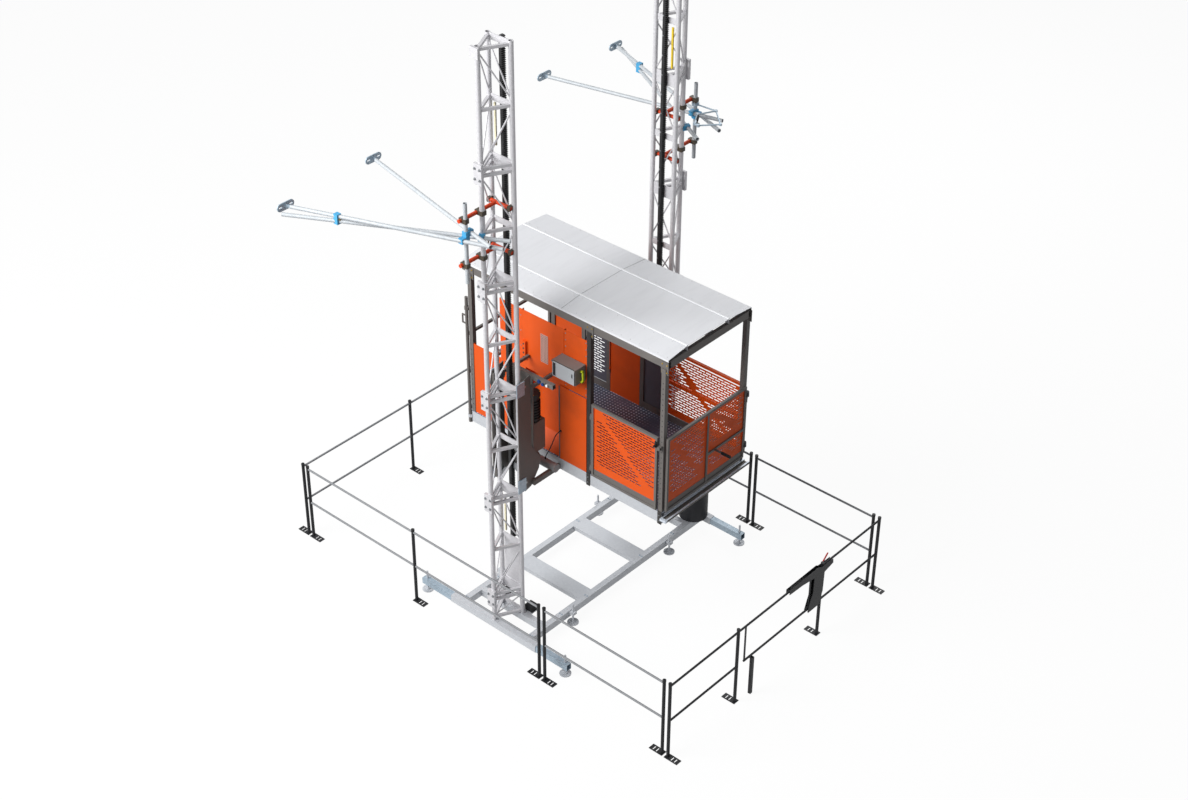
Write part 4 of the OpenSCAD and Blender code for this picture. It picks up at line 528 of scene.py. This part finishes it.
upper_gland = piece("upper_cable_gland", lambda bm: add_gland(bm, CABLE_ROUTE[0], CABLE_ROUTE[1]),
                    BLACK_PLASTIC, "platform")
lower_gland = piece("lower_cable_gland", lambda bm: add_gland(bm, CABLE_ROUTE[-1], CABLE_ROUTE[-2]),
                    BLACK_PLASTIC, "platform")

# %% [markdown]
# Mast sections are bolted together end to end. Four heavy bolts stand on each joint block of the outer
# leg, and a row of small screws holds the rack. The bolts are hexagon heads on washers, so one small
# function makes them all, and the screws are plain round heads.

# %% Bolts on the masts
SECTION, FIRST_JOINT, JOINT_COUNT = 1.508, 0.555, 5
JOINT_LEVELS = [FIRST_JOINT + SECTION * i for i in range(JOINT_COUNT)]
BLOCK_FACE, BLOCK_BOLT_X, BLOCK_BOLT_Z = 1.786, 0.038, 0.065
RACK_FACE, RACK_FOOT, RACK_TOP = 1.331, 1.32, 8.09
RACK_SCREW_PITCH, RACK_X = 0.2513, SHIFT - 0.002


def mast_bolts(bm):
    for side in (-1, 1):
        for level in JOINT_LEVELS:
            for dx in (-BLOCK_BOLT_X, BLOCK_BOLT_X):
                for dz in (-BLOCK_BOLT_Z, BLOCK_BOLT_Z):
                    at = (SHIFT + dx, side * BLOCK_FACE, level + dz)
                    add_bolt(bm, at, (0, side, 0), 24 * MM, 12 * MM)


def rack_bolts(bm):
    for side in (-1, 1):
        z = RACK_FOOT + 0.06
        while z < RACK_TOP - 0.05:
            face, head = side * RACK_FACE, side * (RACK_FACE - 0.007)
            add_cylinder(bm, (RACK_X, face, z), (RACK_X, head, z), 9 * MM, 16)
            z += RACK_SCREW_PITCH


piece("mast_joint_bolts", mast_bolts, TURNED, "base")
piece("rack_screws", rack_bolts, TURNED, "base")

# %% [markdown]
# The roof is built from folded sheets. Pale raised caps cover the two seams that run its whole length, a
# thin grey joint crosses it in the middle, and rows of blind rivets hold the sheets along the seams and
# the edges. Corner plates with yellow passivated bolts tie the roof frame together.

# %% Roof seams, rivets, corner plates and bolts
ROOF_X0, ROOF_X1 = -1.354 + SHIFT, 1.917 + SHIFT
ROOF_MIDDLE = (ROOF_X0 + ROOF_X1) / 2
ROOF_EDGE, ROOF_Z, CROWN = 0.756, 4.5033, 0.040
ROOF_TOP = ROOF_Z + CROWN
FOLDS = (-0.421, 0.333)
SEAM_HALF, JOINT_HALF, JOINT_LIFT = 0.011, 0.003, 0.002
RIVET_ROWS, RIVETS_IN_ROW, RIVET_INSET = (-0.72, FOLDS[0] - 0.05, FOLDS[1] + 0.05, 0.72), 24, 0.05
CROSS_RIVETS, CROSS_START, CROSS_PITCH, CROSS_SIDE = 9, -0.66, 0.165, 0.04
ROOF_POSTS, ROOF_PLATE_FACE, ROOF_PLATE_T = (-1.250, 0.700, 1.835), 0.7575, 0.006


def roof_height(y):
    """Height of the sheets: level between the folds, and sloping down to both edges."""
    if y < FOLDS[0]:
        return ROOF_Z + CROWN * (y + ROOF_EDGE) / (FOLDS[0] + ROOF_EDGE)
    if y > FOLDS[1]:
        return ROOF_Z + CROWN * (ROOF_EDGE - y) / (ROOF_EDGE - FOLDS[1])
    return ROOF_TOP


def roof_seams(bm):
    for y in FOLDS:
        add_box(bm, (ROOF_X0, y - SEAM_HALF, ROOF_TOP - 0.003), (ROOF_X1, y + SEAM_HALF, ROOF_TOP + 0.006))


def roof_joint(bm):
    sides = (ROOF_MIDDLE - JOINT_HALF, ROOF_MIDDLE + JOINT_HALF)
    add_box(bm, (sides[0], FOLDS[0], ROOF_TOP - JOINT_LIFT), (sides[1], FOLDS[1], ROOF_TOP + JOINT_LIFT))
    for y0, y1 in ((-ROOF_EDGE, FOLDS[0]), (ROOF_EDGE, FOLDS[1])):
        corners = []
        for x in sides:
            for y, z in ((y0, ROOF_Z), (y1, ROOF_TOP)):
                for lift in (-JOINT_LIFT, JOINT_LIFT):
                    corners.append(bm.verts.new((x, y, z + lift)))
        bmesh.ops.convex_hull(bm, input=corners)


def add_rivet(bm, x, y):
    z = roof_height(y)
    add_cylinder(bm, (x, y, z - 0.002), (x, y, z + 0.004), 8 * MM, 12, 5 * MM)


def roof_rivets(bm):
    run = ROOF_X1 - ROOF_X0 - 2 * RIVET_INSET
    for y in RIVET_ROWS:
        for i in range(RIVETS_IN_ROW):
            add_rivet(bm, ROOF_X0 + RIVET_INSET + i * run / (RIVETS_IN_ROW - 1), y)
    for x in (ROOF_MIDDLE - CROSS_SIDE, ROOF_MIDDLE + CROSS_SIDE):
        for k in range(CROSS_RIVETS):
            add_rivet(bm, x, CROSS_START + k * CROSS_PITCH)


def roof_plates(bm):
    for side in (-1, 1):
        face = side * ROOF_PLATE_FACE
        for x in ROOF_POSTS:
            add_box(bm, (x + SHIFT - 0.02, face, 4.30), (x + SHIFT + 0.09, face + side * ROOF_PLATE_T, 4.46))


def roof_bolts(bm):
    face = ROOF_PLATE_FACE + ROOF_PLATE_T
    for side in (-1, 1):
        for x in ROOF_POSTS:
            for z in (4.43, 4.33):
                for dx in (0.0, 0.07):
                    add_bolt(bm, (x + SHIFT + dx, side * face, z), (0, side, 0), 14 * MM, 5 * MM)


piece("roof_seam_caps", roof_seams, PALE_CAP, "platform", 1 * MM, False)
piece("roof_cross_joint", roof_joint, JOINT_GREY, "platform", 0.0, False)
piece("roof_rivets", roof_rivets, GALVANISED, "platform")
piece("roof_corner_plates", roof_plates, TAUPE, "platform", 1 * MM, False)
piece("roof_bolts", roof_bolts, GOLD_ZINC, "platform")

# %% [markdown]
# Each drive unit is bolted together on a thick dark plate. Bright bearing plates carry the pinion shafts,
# a row of bolts runs down each edge, and four long tie bolts run along the motor. The near unit and the
# far unit are the same parts, mirrored, so every place is made for both sides.

# %% Bolts and bearing plates of the drive units
PLATE_FACE, PINION_X = 1.195, 0.1636
SHAFT_LEVELS = (2.729, 2.4275)
BEARING_HALF, BEARING_T, BEARING_BOLT = 0.075, 0.010, 0.06
EDGE_BOLTS_X, EDGE_BOLTS_Z, EDGE_BOLT_PITCH, EDGE_BOLT_COUNT = (-0.095, 0.250), 2.60, 0.2, 6
BEARING_CLEAR = 0.09
MOTOR_X, MOTOR_Y, MOTOR_Z0, MOTOR_Z1 = 0.1733, 1.0647, 2.9893, 3.3893
TIE_CIRCLE, MOTOR_CAP = 0.082, 0.052
COVER_LEVELS, COVER_Y = (2.62, 2.90), 0.9497


def bearing_plates(bm):
    for side in (-1, 1):
        for z in SHAFT_LEVELS:
            face = side * PLATE_FACE
            add_box(bm, (PINION_X - BEARING_HALF, face, z - BEARING_HALF),
                    (PINION_X + BEARING_HALF, face + side * BEARING_T, z + BEARING_HALF))
            add_cylinder(bm, (PINION_X, face, z), (PINION_X, face + side * 0.024, z), 0.052, 32, 0.046)


def drive_bolts(bm):
    for side in (-1, 1):
        for z in SHAFT_LEVELS:
            for dx in (-BEARING_BOLT, BEARING_BOLT):
                for dz in (-BEARING_BOLT, BEARING_BOLT):
                    at = (PINION_X + dx, side * (PLATE_FACE + BEARING_T), z + dz)
                    add_bolt(bm, at, (0, side, 0), 15 * MM, 7 * MM)
        for x in EDGE_BOLTS_X:
            for i in range(EDGE_BOLT_COUNT):
                z = EDGE_BOLTS_Z + i * EDGE_BOLT_PITCH
                if x < 0 or abs(z - SHAFT_LEVELS[0]) > BEARING_CLEAR:
                    add_bolt(bm, (x, side * PLATE_FACE, z), (0, side, 0), 19 * MM, 8 * MM)


def motor_ties(bm):
    for side in (-1, 1):
        for k in range(4):
            angle = math.radians(45 + 90 * k)
            x = MOTOR_X + TIE_CIRCLE * math.cos(angle)
            y = side * MOTOR_Y + TIE_CIRCLE * math.sin(angle)
            add_cylinder(bm, (x, y, MOTOR_Z0), (x, y, MOTOR_Z1 - MOTOR_CAP), 4 * MM, 10)
            add_cylinder(bm, (x, y, MOTOR_Z1), (x, y, MOTOR_Z1 + 0.008), 8 * MM, 6)


def gearbox_covers(bm):
    for side in (-1, 1):
        y = side * COVER_Y
        for z in COVER_LEVELS:
            start, end = (PINION_X, y - side * 0.004, z), (PINION_X, y + side * 0.012, z)
            add_cylinder(bm, start, end, 0.058, 36, 0.054)


piece("drive_bearing_plates", bearing_plates, BLUED_ZINC, "platform", 1.5 * MM)
piece("drive_plate_bolts", drive_bolts, GOLD_ZINC, "platform")
piece("motor_tie_bolts", motor_ties, YELLOW, "platform")
piece("gearbox_covers", gearbox_covers, GREY_CAST, "platform", 1.5 * MM)

# %% [markdown]
# The front posts end in bolted foot plates beside the floor frame, and a grey trim edges the recess. The
# posts are punched with rows of small holes and the tall sheets are held by pan head screws. The shade in
# each hole is painted: a thin dark disc stands about a millimetre proud of the face in each one. The orange
# sheet behind the drive unit carries a vent plate with painted hole shade, a seam and a block with four
# holes, whose shade is painted the same way.

# %% Painted hole shade, foot plates, panel screws and the vent
POST_FACE_Y, SHEET_FACE = -0.774, -0.766
POST_HOLE_FOOT, POST_HOLE_PITCH = 2.45, 0.075
POST_HOLE_TOPS = {-1.220: 3.35, 0.730: 4.28, 1.865: 4.28}
FOOT_PLATES_X, FOOT_PLATE_W, FOOT_PLATE_FACE = (-1.2325, 0.7775, 1.9125), 0.060, -0.7810
SCREW_FACE, SCREWS_IN_ROW = -0.7655, 9
SCREW_ROWS = ((-0.70, 2.42, 0.215), (-0.37, 2.42, 0.215), (0.355, 3.46, 0.092), (0.68, 3.46, 0.092))
BEHIND_CABINET = (3.64, 3.94)
VENT_X, VENT_Z0, VENT_Z1, VENT_PITCH = 0.03, 3.62, 4.02, 0.023
STAY_X0, STAY_X1, STAY_HOLE_Z, STAY_HOLE_PITCH = -0.252, -0.195, 3.585, 0.063


def recess_edge(bm):
    add_box(bm, (0.3345, -0.7860, 2.345), (0.3505, -0.7745, 3.410))


def post_feet(bm):
    for x in FOOT_PLATES_X:
        add_box(bm, (x, FOOT_PLATE_FACE, 2.150), (x + FOOT_PLATE_W, -0.7735, 2.338))


def post_foot_bolts(bm):
    for x in FOOT_PLATES_X:
        for z in (2.20, 2.28):
            add_bolt(bm, (x + FOOT_PLATE_W / 2, FOOT_PLATE_FACE, z), (0, -1, 0), 14 * MM, 6 * MM)


# Painted shade: a dark disc in each post hole.
def post_holes(bm):
    for x, top in POST_HOLE_TOPS.items():
        for i in range(int((top - POST_HOLE_FOOT) / POST_HOLE_PITCH)):
            z = POST_HOLE_FOOT + i * POST_HOLE_PITCH
            inside, outside = (x + SHIFT, POST_FACE_Y + 0.001, z), (x + SHIFT, POST_FACE_Y - 0.0012, z)
            add_cylinder(bm, inside, outside, 7 * MM, 12)


def panel_screws(bm):
    for x, foot, pitch in SCREW_ROWS:
        for i in range(SCREWS_IN_ROW):
            z = foot + i * pitch
            start, end = (x + SHIFT, SCREW_FACE, z), (x + SHIFT, SCREW_FACE - 0.005, z)
            if x < 0 or not BEHIND_CABINET[0] < z < BEHIND_CABINET[1]:
                add_cylinder(bm, start, end, 9 * MM, 14, 6 * MM)


def vent_plate(bm):
    add_box(bm, (VENT_X, SHEET_FACE - 0.003, VENT_Z0), (VENT_X + 0.12, SHEET_FACE + 0.001, VENT_Z1))


# Painted shade: a dark disc in each hole of the vent plate.
def vent_hole_shade(bm):
    for column in range(5):
        for row in range(17):
            x, z = VENT_X + 0.014 + column * VENT_PITCH, VENT_Z0 + 0.016 + row * VENT_PITCH
            add_cylinder(bm, (x, SHEET_FACE - 0.002, z), (x, SHEET_FACE - 0.0038, z), 6 * MM, 10)


def panel_seam(bm):
    add_box(bm, (0.401, SHEET_FACE - 0.004, 3.44), (0.409, SHEET_FACE + 0.001, 4.22))


def stay_block(bm):
    add_box(bm, (STAY_X0, SHEET_FACE - 0.035, 3.55), (STAY_X1, SHEET_FACE + 0.001, 3.81))


# Painted shade: a dark disc in each of the block's four holes.
def stay_holes(bm):
    x = (STAY_X0 + STAY_X1) / 2
    for i in range(4):
        z = STAY_HOLE_Z + i * STAY_HOLE_PITCH
        add_cylinder(bm, (x, SHEET_FACE - 0.034, z), (x, SHEET_FACE - 0.0365, z), 13 * MM, 16)


piece("recess_edge_trim", recess_edge, TAUPE, "platform", 1 * MM, False)
piece("post_foot_plates", post_feet, POST_BLACK, "platform", 1 * MM, False)
piece("post_foot_bolts", post_foot_bolts, TURNED, "platform")
piece("vent_plate", vent_plate, PALE_ROSE, "platform", 0.5 * MM, False)
piece("vent_hole_shade", vent_hole_shade, HOLE_SHADE, "platform")
piece("panel_seam", panel_seam, ORANGE, "platform", 1 * MM, False)
piece("stay_block", stay_block, ORANGE, "platform", 2 * MM, False)
piece("stay_block_holes", stay_holes, HOLE_SHADE, "platform")
piece("post_holes", post_holes, HOLE_SHADE, "platform")
piece("panel_screws", panel_screws, TURNED, "platform")

# %% [markdown]
# The control cabinet has a dark strip on its pale door, a lime release loop on its side and two glands
# below. The cross bar beside it carries the stop button with a blue bezel and a white knob next to it. All
# are small, and each sits on the face that carries it.

# %% Cabinet and switch details
CAB_X0, CAB_X1, CAB_Y, CAB_Z0, CAB_Z1, CAB_MIDDLE_Y = 0.3875, 0.7575, -0.9633, 3.686, 3.888, -0.86
LOOP_Z0, LOOP_Z1, LOOP_OUT, LOOP_T, LOOP_END_T, LOOP_HALF = 3.70, 3.86, 0.045, 0.016, 0.02, 0.015
SWITCH_X, SWITCH_FACE, SWITCH_Z = 0.4975, -1.2145, 3.735
BEZEL_X, KNOB_X = SWITCH_X - 0.075, SWITCH_X + 0.055


def cabinet_recess(bm):
    add_box(bm, (CAB_X0 + 0.022, CAB_Y - 0.0025, CAB_Z0 + 0.012),
            (CAB_X0 + 0.062, CAB_Y + 0.001, CAB_Z1 - 0.012))


def release_loop(bm):
    """A thin strap that stands off the cabinet's side and comes back to it."""
    near, far = CAB_MIDDLE_Y - LOOP_HALF, CAB_MIDDLE_Y + LOOP_HALF
    for z in (LOOP_Z0, LOOP_Z1 - LOOP_END_T):
        add_box(bm, (CAB_X1, near, z), (CAB_X1 + LOOP_OUT, far, z + LOOP_END_T))
    add_box(bm, (CAB_X1 + LOOP_OUT - LOOP_T, near, LOOP_Z0), (CAB_X1 + LOOP_OUT, far, LOOP_Z1))


def cabinet_glands(bm):
    for x in (CAB_X0 + 0.06, CAB_X0 + 0.12):
        add_cylinder(bm, (x, CAB_MIDDLE_Y, 3.68), (x, CAB_MIDDLE_Y, 3.664), 14 * MM, 6)
        add_cylinder(bm, (x, CAB_MIDDLE_Y, 3.664), (x, CAB_MIDDLE_Y, 3.655), 11 * MM, 16, 8 * MM)


def switch_bezel(bm):
    add_cylinder(bm, (BEZEL_X, SWITCH_FACE, SWITCH_Z), (BEZEL_X, -1.232, SWITCH_Z), 0.025, 28, 0.021)


def switch_knob(bm):
    add_cylinder(bm, (KNOB_X, SWITCH_FACE, SWITCH_Z), (KNOB_X, -1.228, SWITCH_Z), 0.014, 24, 0.012)
    add_cylinder(bm, (KNOB_X, -1.228, SWITCH_Z), (KNOB_X, -1.238, SWITCH_Z), 0.019, 24, 0.016)


piece("cabinet_recess", cabinet_recess, BLACK_PLASTIC, "cabinet_door_body", 1 * MM, False)
piece("cabinet_release_loop", release_loop, LIME, "platform", 4 * MM)
piece("cabinet_glands", cabinet_glands, BLACK_PLASTIC, "platform")
piece("switch_bezel", switch_bezel, BLUE_PLASTIC, "platform", 1 * MM)
piece("switch_knob", switch_knob, WHITE_PLASTIC, "platform", 1 * MM)

# %% [markdown]
# Hands touch the grips, so these are soft and dark: a ribbed rubber grip on the right gate's bar, two
# hinge caps on that gate's hinge side, rubber sleeves on the cable guide's hoop, and a white pull on the
# service door. A red sleeve covers the barrier's lever. It is thicker on one side, because the plate
# beside it leaves little room. A lime strip marks the left gate's post.

# %% Grips, hinge caps, pulls and sleeves
GRIP_Y, GRIP_Z, GRIP_L, RIB_PITCH = 0.150, 2.778, 0.135, 0.014
HINGE_X, HINGE_Y, CAP_LEVELS, CAP_H = 2.0045, 0.744, (2.50, 3.25), 0.065
HOOP_RODS = [((0.4575, 1.5895, 6.03), (0.3975, 1.5995, 6.03)),
             ((0.3975, 1.5995, 6.03), (0.2675, 1.8095, 6.03))]
LEVER_FOOT, LEVER_LEAN = Vector((3.1202, 0.985, 1.092)), math.radians(48)
SLEEVE_START, SLEEVE_TIP, LEVER_TIP = 0.03, 0.15, 0.172


def gate_grip(bm):
    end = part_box("right_gate")[1][0] + 0.004
    for i in range(9):
        x = end - 0.012 - i * RIB_PITCH
        add_cylinder(bm, (x - 0.006, GRIP_Y, GRIP_Z), (x + 0.004, GRIP_Y, GRIP_Z), 0.0195, 24)
    add_cylinder(bm, (end - GRIP_L, GRIP_Y, GRIP_Z), (end, GRIP_Y, GRIP_Z), 0.0175, 24)


def hinge_caps(bm):
    for z in CAP_LEVELS:
        add_cylinder(bm, (HINGE_X, HINGE_Y, z), (HINGE_X, HINGE_Y, z + CAP_H), 0.031, 28, 0.029)


def door_pull(bm):
    add_box(bm, (0.1975, 0.742, 3.385), (0.3075, 0.760, 3.401))
    for x in (0.2035, 0.2935):
        add_box(bm, (x, 0.700, 3.387), (x + 0.008, 0.745, 3.399))


def latch_strip(bm):
    add_box(bm, (-1.2290, -0.7790, 3.30), (-1.1990, -0.7735, 3.44))


def hoop_sleeves(bm):
    for start, end in HOOP_RODS:
        start, end = Vector(start), Vector(end)
        add_cylinder(bm, start.lerp(end, 0.25), start.lerp(end, 0.75), 0.0185, 20)


def lever_sleeve(bm):
    along = Vector((0.0, math.sin(LEVER_LEAN), math.cos(LEVER_LEAN)))
    tip = LEVER_FOOT + along * SLEEVE_TIP
    add_cylinder(bm, LEVER_FOOT + along * SLEEVE_START, tip, 0.0096, 20)
    add_cylinder(bm, tip, LEVER_FOOT + along * LEVER_TIP, 0.0096, 20, 0.007)


piece("barrier_lever_sleeve", lever_sleeve, LEVER_RED, "barrier_lever_body")
piece("right_gate_grip", gate_grip, RUBBER, "right_gate_body")
piece("right_gate_hinge_caps", hinge_caps, BLACK_PLASTIC, "right_gate_body")
piece("service_door_pull", door_pull, WHITE_PLASTIC, "service_door_body", 1.5 * MM, False)
piece("left_post_strip", latch_strip, LIME, "platform", 1 * MM, False)
piece("guide_hoop_sleeves", hoop_sleeves, RUBBER, "base")

# %% [markdown]
# The end sill is bright zinc steel, but its end lies in shade, so its faces are painted dark grey as
# painted shade in the finishes above. Bright strips on its two top edges and a bright corner block at the
# near end show its own steel. The strips are thin sheet, so they are flat boxes that stand 2 mm proud.

# %% Bright top strips of the end sill
SILL_NEAR, SILL_FAR, SILL_TOP = -0.814, 0.794, 2.265
STRIPS_X = ((SILL_X - 0.0005, SILL_X + 0.0195), (2.0465, 2.0675))


def sill_strips(bm):
    for x0, x1 in STRIPS_X:
        add_box(bm, (x0, SILL_NEAR, SILL_TOP - 0.001), (x1, SILL_FAR, SILL_TOP + 0.002))


def sill_corner(bm):
    add_box(bm, (SILL_X + 0.004, SILL_NEAR - 0.002, 2.237), (2.0685, SILL_NEAR + 0.035, SILL_TOP + 0.003))


piece("sill_top_strips", sill_strips, SILL_STEEL, "platform", 0.8 * MM, False)
piece("sill_corner_block", sill_corner, SILL_STEEL, "platform", 2 * MM, False)

# %% [markdown]
# The base is bolted too, with pairs of small hexagon heads where its members cross the long beams, and
# the couplers on the tie tubes have larger swing bolts in yellow passivated zinc.

# %% Bolts on the base and the ties
BASE_TOP, BEAM_X, BEAM_BOLT_X = 0.190, 0.560, 0.018
BEAM_BOLT_LEVELS = (-1.655, -1.10, -0.62, 0.46, 1.10, 1.655)
COUPLER_BOLTS = ((0.104, 1.925, 5.932), (0.104, 2.045, 5.870), (-1.316, 2.599, 5.839))


def base_bolts(bm):
    for x in (-BEAM_X + SHIFT, BEAM_X + SHIFT):
        for y in BEAM_BOLT_LEVELS:
            for dx in (-BEAM_BOLT_X, BEAM_BOLT_X):
                add_bolt(bm, (x + dx, y, BASE_TOP), (0, 0, 1), 13 * MM, 6 * MM)


def coupler_bolts(bm):
    for side in (-1, 1):
        for x, y, z in COUPLER_BOLTS:
            add_bolt(bm, (x, side * y, z), (1, 0, 0), 19 * MM, 10 * MM)


piece("base_frame_bolts", base_bolts, BLUED_ZINC, "base")
piece("coupler_bolts", coupler_bolts, GOLD_ZINC, "base")

# %% [markdown]
# The floor is a plain pale sheet. To the camera, and in reflections, it is nearly pure white with a faint
# shadow of the hoist, as in a catalogue picture. To light that bounces it is a mid grey, so that it does
# not throw light up into the shaded sides and wash them out.

# %% Floor
FLOOR_HALF, FLOOR_Z = 60, -0.002
FLOOR_CORNERS = [(x * FLOOR_HALF, y * FLOOR_HALF, FLOOR_Z) for x, y in ((-1, -1), (1, -1), (1, 1), (-1, 1))]
SHOWN_WHITE = 0.94


def seen_directly(tree):
    """1 for the camera and for what metal and glass show, 0 for light that bounces."""
    path = add(tree, "ShaderNodeLightPath")
    shown = add(tree, "ShaderNodeMath", {"operation": "MAXIMUM"},
                {0: path.outputs["Is Camera Ray"], 1: path.outputs["Is Glossy Ray"]})
    shown = add(tree, "ShaderNodeMath", {"operation": "MAXIMUM"},
                {0: shown.outputs[0], 1: path.outputs["Is Transmission Ray"]})
    return shown.outputs[0]


floor_mesh = bpy.data.meshes.new("floor")
floor_mesh.from_pydata(FLOOR_CORNERS, [], [(0, 1, 2, 3)])
floor = bpy.data.objects.new("floor", floor_mesh)
bpy.context.scene.collection.objects.link(floor)
floor_finish = bpy.data.materials.new("studio floor")
floor_finish.use_nodes = True
tree = floor_finish.node_tree
tree.nodes.clear()
shown = seen_directly(tree)
paper = add(tree, "ShaderNodeMix", {"data_type": "RGBA", 6: srgb("#A0A0A2"), 7: srgb("#FFFFFF")}, {0: shown})
plain = add(tree, "ShaderNodeBsdfDiffuse", {}, {"Color": paper.outputs[2]})
white = add(tree, "ShaderNodeEmission", {"Color": (1, 1, 1, 1), "Strength": 1.0})
share = add(tree, "ShaderNodeMath", {"operation": "MULTIPLY", 1: SHOWN_WHITE}, {0: shown})
blend = add(tree, "ShaderNodeMixShader", {}, {0: share.outputs[0], 1: plain.outputs[0], 2: white.outputs[0]})
add(tree, "ShaderNodeOutputMaterial", {}, {"Surface": blend.outputs[0]})
floor_mesh.materials.append(floor_finish)
print("floor size in metres:", 2 * FLOOR_HALF)

# %% [markdown]
# The world gives a weak even light, and shows white behind the object. One large soft lamp stands high on
# the camera's left, and a weaker one lights the far side. The right end stays in shade, as in the
# photograph.

# %% World and lamps
world = bpy.data.worlds.new("studio")
world.use_nodes = True
bpy.context.scene.world = world
tree = world.node_tree
tree.nodes.clear()
soft = add(tree, "ShaderNodeBackground", {"Color": srgb("#F2F4F8"), "Strength": 0.24})
backdrop = add(tree, "ShaderNodeBackground", {"Color": (1, 1, 1, 1), "Strength": 1.0})
both = add(tree, "ShaderNodeMixShader", {},
           {0: seen_directly(tree), 1: soft.outputs[0], 2: backdrop.outputs[0]})
add(tree, "ShaderNodeOutputWorld", {}, {"Surface": both.outputs[0]})
LIT_POINT = Vector((0.0, 0.0, 3.0))


def lamp(name, place, size, power):
    data = bpy.data.lights.new(name, "AREA")
    data.size = size
    data.energy = power
    made = bpy.data.objects.new(name, data)
    made.location = place
    made.rotation_euler = (LIT_POINT - Vector(place)).to_track_quat("-Z", "Y").to_euler()
    bpy.context.scene.collection.objects.link(made)
    print(name, "lamp, watts:", power)


lamp("key", (-6.0, -16.0, 15.0), 14.0, 5900.0)
lamp("far_fill", (-5.0, 15.0, 11.0), 8.0, 900.0)
bpy.context.scene.view_settings.view_transform = "Standard"
